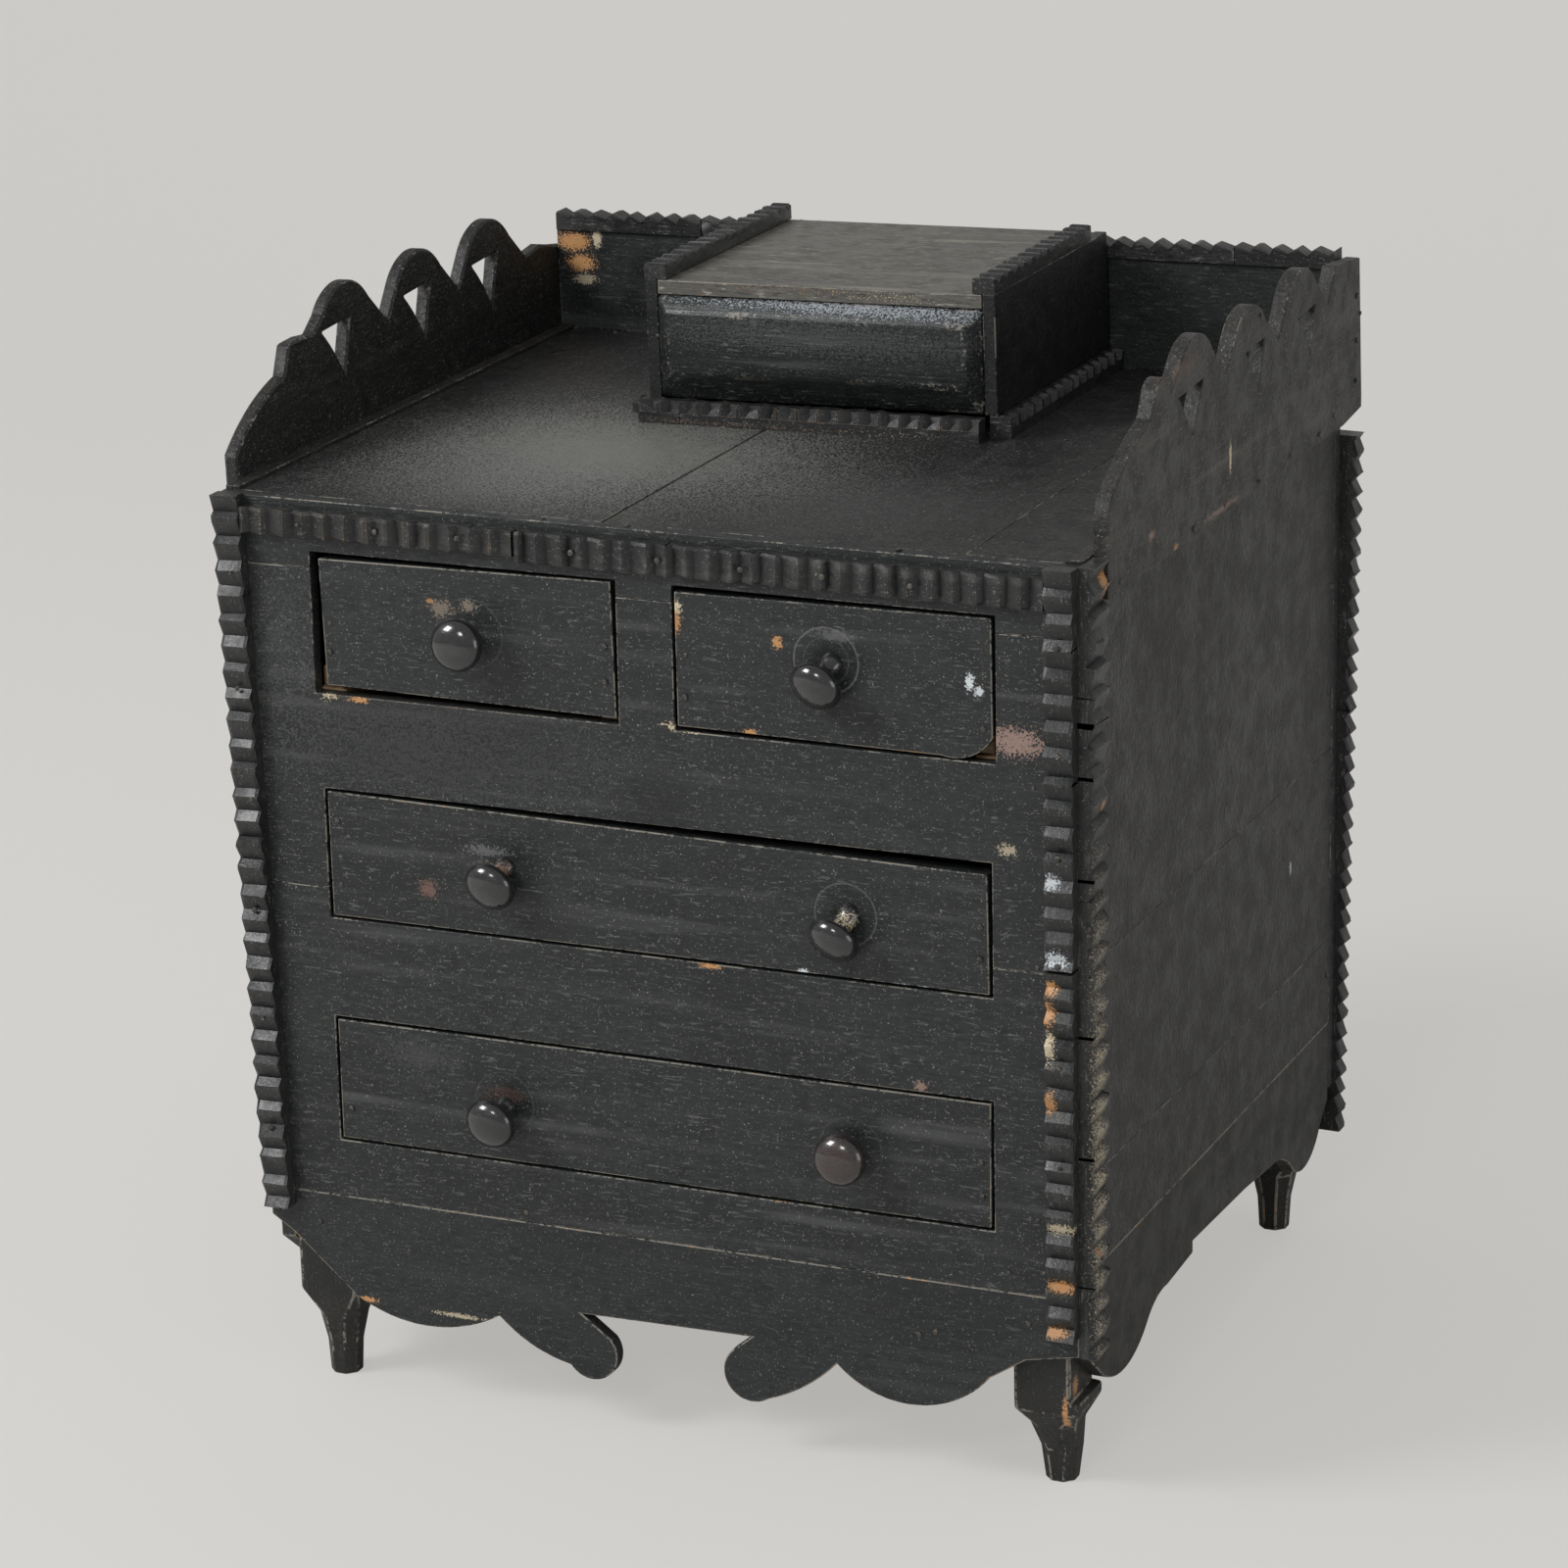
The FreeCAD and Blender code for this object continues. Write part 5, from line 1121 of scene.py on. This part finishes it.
FRONT_NAILS = [
    (-155.9, 74.5), (158.8, 75.4), (-114.6, 67.2), (112.2, 64.2), (119.3, 66.1), (128.7, 200.8),
    (163.3, 224.7), (-14, 118.8), (150.6, 96), (-162, 96), (163, 120), (-166, 200),
    (-168, 300), (162, 297), (-60, 92),
]
STRIP_FACE, TOP_STRIP_FACE, SIDE_STRIP_FACE, GALLERY_FACE, REAR_FACE = -7.2, -5.2, 187.0, 186.5, 329.5
front_nails = [(x, 0.0, z) for x, z in FRONT_NAILS]
strip_nails = nail_rows(
    ((-171.5, STRIP_FACE, 92), (-178.5, STRIP_FACE, 376), 6),
    ((174.2, STRIP_FACE, 82), (174.2, STRIP_FACE, 376), 7),
    ((-165, TOP_STRIP_FACE, 376), (-60, TOP_STRIP_FACE, 376), 3),
    ((-45, TOP_STRIP_FACE, 374.5), (166, TOP_STRIP_FACE, 374.5), 6),
)
right_nails = nail_rows(
    ((180, 5, 96), (180, 5, 372), 5),
    ((180, 318, 96), (180, 318, 362), 6),
    ((SIDE_STRIP_FACE, 8, 78), (SIDE_STRIP_FACE, 8, 380), 6),
    ((GALLERY_FACE, 12, 372.5), (GALLERY_FACE, 300, 372.5), 7),
    ((GALLERY_FACE, 330, 376), (GALLERY_FACE, 330, 430), 3),
)
right_nails += [(GALLERY_FACE, y, z) for y, z in ((199.3, 441.0), (299.5, 376.8), (335.0, 413.5))]
left_nails = [(left_face(z), 5.0, z) for z in (105.0, 160.0, 240.0, 300.0, 352.0)]
left_nails += [(left_face(z), 318.0, z) for z in (105.0, 165.0, 235.0, 295.0, 350.0)]
left_nails += [(left_face(374.0) - 6.6, 20.0 + 46.0 * step, 374.0 + step % 2) for step in range(7)]
back_nails = nail_rows(
    ((-172, REAR_FACE, 75), (-176, REAR_FACE, 380), 6),
    ((174, REAR_FACE, 75), (174, REAR_FACE, 380), 6),
    ((-160, REAR_FACE, 379), (160, REAR_FACE, 379), 7),
    ((-170, REAR_FACE, 395), (170, REAR_FACE, 395), 5),
)
top_nails = nail_rows(
    ((-178, 3.2, TOP_SURFACE), (165, 3.2, TOP_SURFACE), 9),
    ((-178, 317, TOP_SURFACE), (165, 317, TOP_SURFACE), 8),
)
box_front_nails = [
    (68.4, 183.4, 424.7), (63.1, 178.4, 414), (-74.9, 183.6, 417.6), (67, 182.6, 405),
]
root_rows = [
    (FRONTWARD, front_nails + strip_nails),
    (RIGHTWARD, right_nails),
    (LEFTWARD, left_nails),
    (BACKWARD, back_nails),
    (UP, top_nails),
    (FRONTWARD, box_front_nails),
]
nails("carcass_nails", "root", root_rows)
DRAWER_NAIL_INSET = 4.0
for drawer in DRAWER_MARKS:
    low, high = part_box(f"drawer_{drawer}_front")
    low, high = (low - CASE_FOOT) * 1000, (high - CASE_FOOT) * 1000
    rise = high.z - low.z
    points = []
    for end in (low.x + DRAWER_NAIL_INSET, high.x - DRAWER_NAIL_INSET):
        points += nail_rows(((end, 0.0, low.z + 0.12 * rise), (end, 0.0, high.z - 0.1 * rise), 3))
    nails(f"drawer_{drawer}_nails", f"drawer_{drawer}", [(FRONTWARD, points)])

# Floor and backdrop: one pale sweep of paper. What the camera sees is lifted a little by its own
# glow, so the shadow of the chest stays soft on it, as under a studio tent.
SWEEP_WIDTH = 9.0
SWEEP_FRONT = -5.0
SWEEP_BACK = 2.6
SWEEP_HEIGHT = 4.5
SWEEP_BEND = 1.2
SWEEP_COLOUR = (0.665, 0.655, 0.635, 1)
SWEEP_GLOW = (0.695, 0.678, 0.655, 1)
GLOW_SHARE = 0.64
BEND_STEPS = 16
profile = [(SWEEP_FRONT, 0.0), (SWEEP_BACK - SWEEP_BEND, 0.0)]
for step in range(1, BEND_STEPS + 1):
    turn = math.radians(90 * step / BEND_STEPS)
    reach = SWEEP_BACK - SWEEP_BEND + SWEEP_BEND * math.sin(turn)
    profile.append((reach, SWEEP_BEND * (1 - math.cos(turn))))
profile.append((SWEEP_BACK, SWEEP_HEIGHT))
sweep_mesh = bpy.data.meshes.new("paper_sweep")
corners = [(x, y, z) for y, z in profile for x in (-SWEEP_WIDTH / 2, SWEEP_WIDTH / 2)]
faces = [(2 * i, 2 * i + 1, 2 * i + 3, 2 * i + 2) for i in range(len(profile) - 1)]
sweep_mesh.from_pydata(corners, [], faces)
sweep = bpy.data.objects.new("paper_sweep", sweep_mesh)
bpy.context.scene.collection.objects.link(sweep)
for face in sweep_mesh.polygons:
    face.use_smooth = True
paper = bpy.data.materials.new("pale_paper")
paper.use_nodes = True
paper_surface = paper.node_tree.nodes["Principled BSDF"]
paper_surface.inputs["Roughness"].default_value = 0.95
paper_surface.inputs["Specular IOR Level"].default_value = 0.1
seen = wired(paper.node_tree, "ShaderNodeLightPath", {}).outputs["Is Camera Ray"]
half_colour = tuple(value * (1 - GLOW_SHARE) for value in SWEEP_COLOUR[:3]) + (1,)
base = mixed(paper.node_tree, seen, SWEEP_COLOUR, half_colour)
paper.node_tree.links.new(base, paper_surface.inputs["Base Color"])
glow = mixed(paper.node_tree, seen, (0, 0, 0, 1), SWEEP_GLOW)
paper.node_tree.links.new(glow, paper_surface.inputs["Emission Color"])
paper_surface.inputs["Emission Strength"].default_value = GLOW_SHARE
sweep_mesh.materials.append(paper)


# Light: a big soft window high on the left, a weak fill from the front, a low one from the
# right and an even, pale room around them.
def soft_lamp(name, place, aim, width, watts):
    lamp = bpy.data.lights.new(name, "AREA")
    lamp.shape = "SQUARE"
    lamp.size = width
    lamp.energy = watts
    fixture = bpy.data.objects.new(name, lamp)
    fixture.location = place
    fixture.rotation_euler = (Vector(aim) - Vector(place)).to_track_quat("-Z", "Y").to_euler()
    bpy.context.scene.collection.objects.link(fixture)


CHEST_MIDDLE = (0, 0, 0.22)
soft_lamp("window_light", (-1.7, -1.6, 2.1), CHEST_MIDDLE, 1.0, 52.0)
soft_lamp("front_light", (0.3, -2.6, 1.9), CHEST_MIDDLE, 0.6, 13.0)
soft_lamp("side_light", (2.2, -0.5, 0.45), CHEST_MIDDLE, 0.9, 5.0)
ROOM_COLOUR = (0.97, 0.98, 1.0, 1)
ROOM_STRENGTH = 0.44
world = bpy.data.worlds.new("pale_room")
world.use_nodes = True
world.node_tree.nodes["Background"].inputs["Color"].default_value = ROOM_COLOUR
world.node_tree.nodes["Background"].inputs["Strength"].default_value = ROOM_STRENGTH
bpy.context.scene.world = world

# Camera: a long lens at the height of a person's eyes, a little to the right of the front. Its
# place and turn were solved from the straight edges of the carcass.
LENS = 122.13
AZIMUTH = math.radians(23.44)
ELEVATION = math.radians(17.36)
ROLL = math.radians(-1.16)
EYE_FROM_CASE = Vector((0.8441, -1.8119, 0.9053))
level = math.cos(ELEVATION)
back = Vector((math.sin(AZIMUTH) * level, -math.cos(AZIMUTH) * level, math.sin(ELEVATION)))
level_right = (-back).cross(Vector((0, 0, 1))).normalized()
level_up = level_right.cross(-back)
right = math.cos(ROLL) * level_right + math.sin(ROLL) * level_up
up = -math.sin(ROLL) * level_right + math.cos(ROLL) * level_up
camera_data = bpy.data.cameras.new("studio_camera")
camera_data.lens = LENS
camera_data.sensor_width = 36.0
camera = bpy.data.objects.new("studio_camera", camera_data)
bpy.context.scene.collection.objects.link(camera)
turn = Matrix((right, up, back)).transposed()
camera.matrix_world = Matrix.Translation(CASE_FOOT + EYE_FROM_CASE) @ turn.to_4x4()
bpy.context.scene.camera = camera
bpy.context.scene.view_settings.view_transform = "Standard"
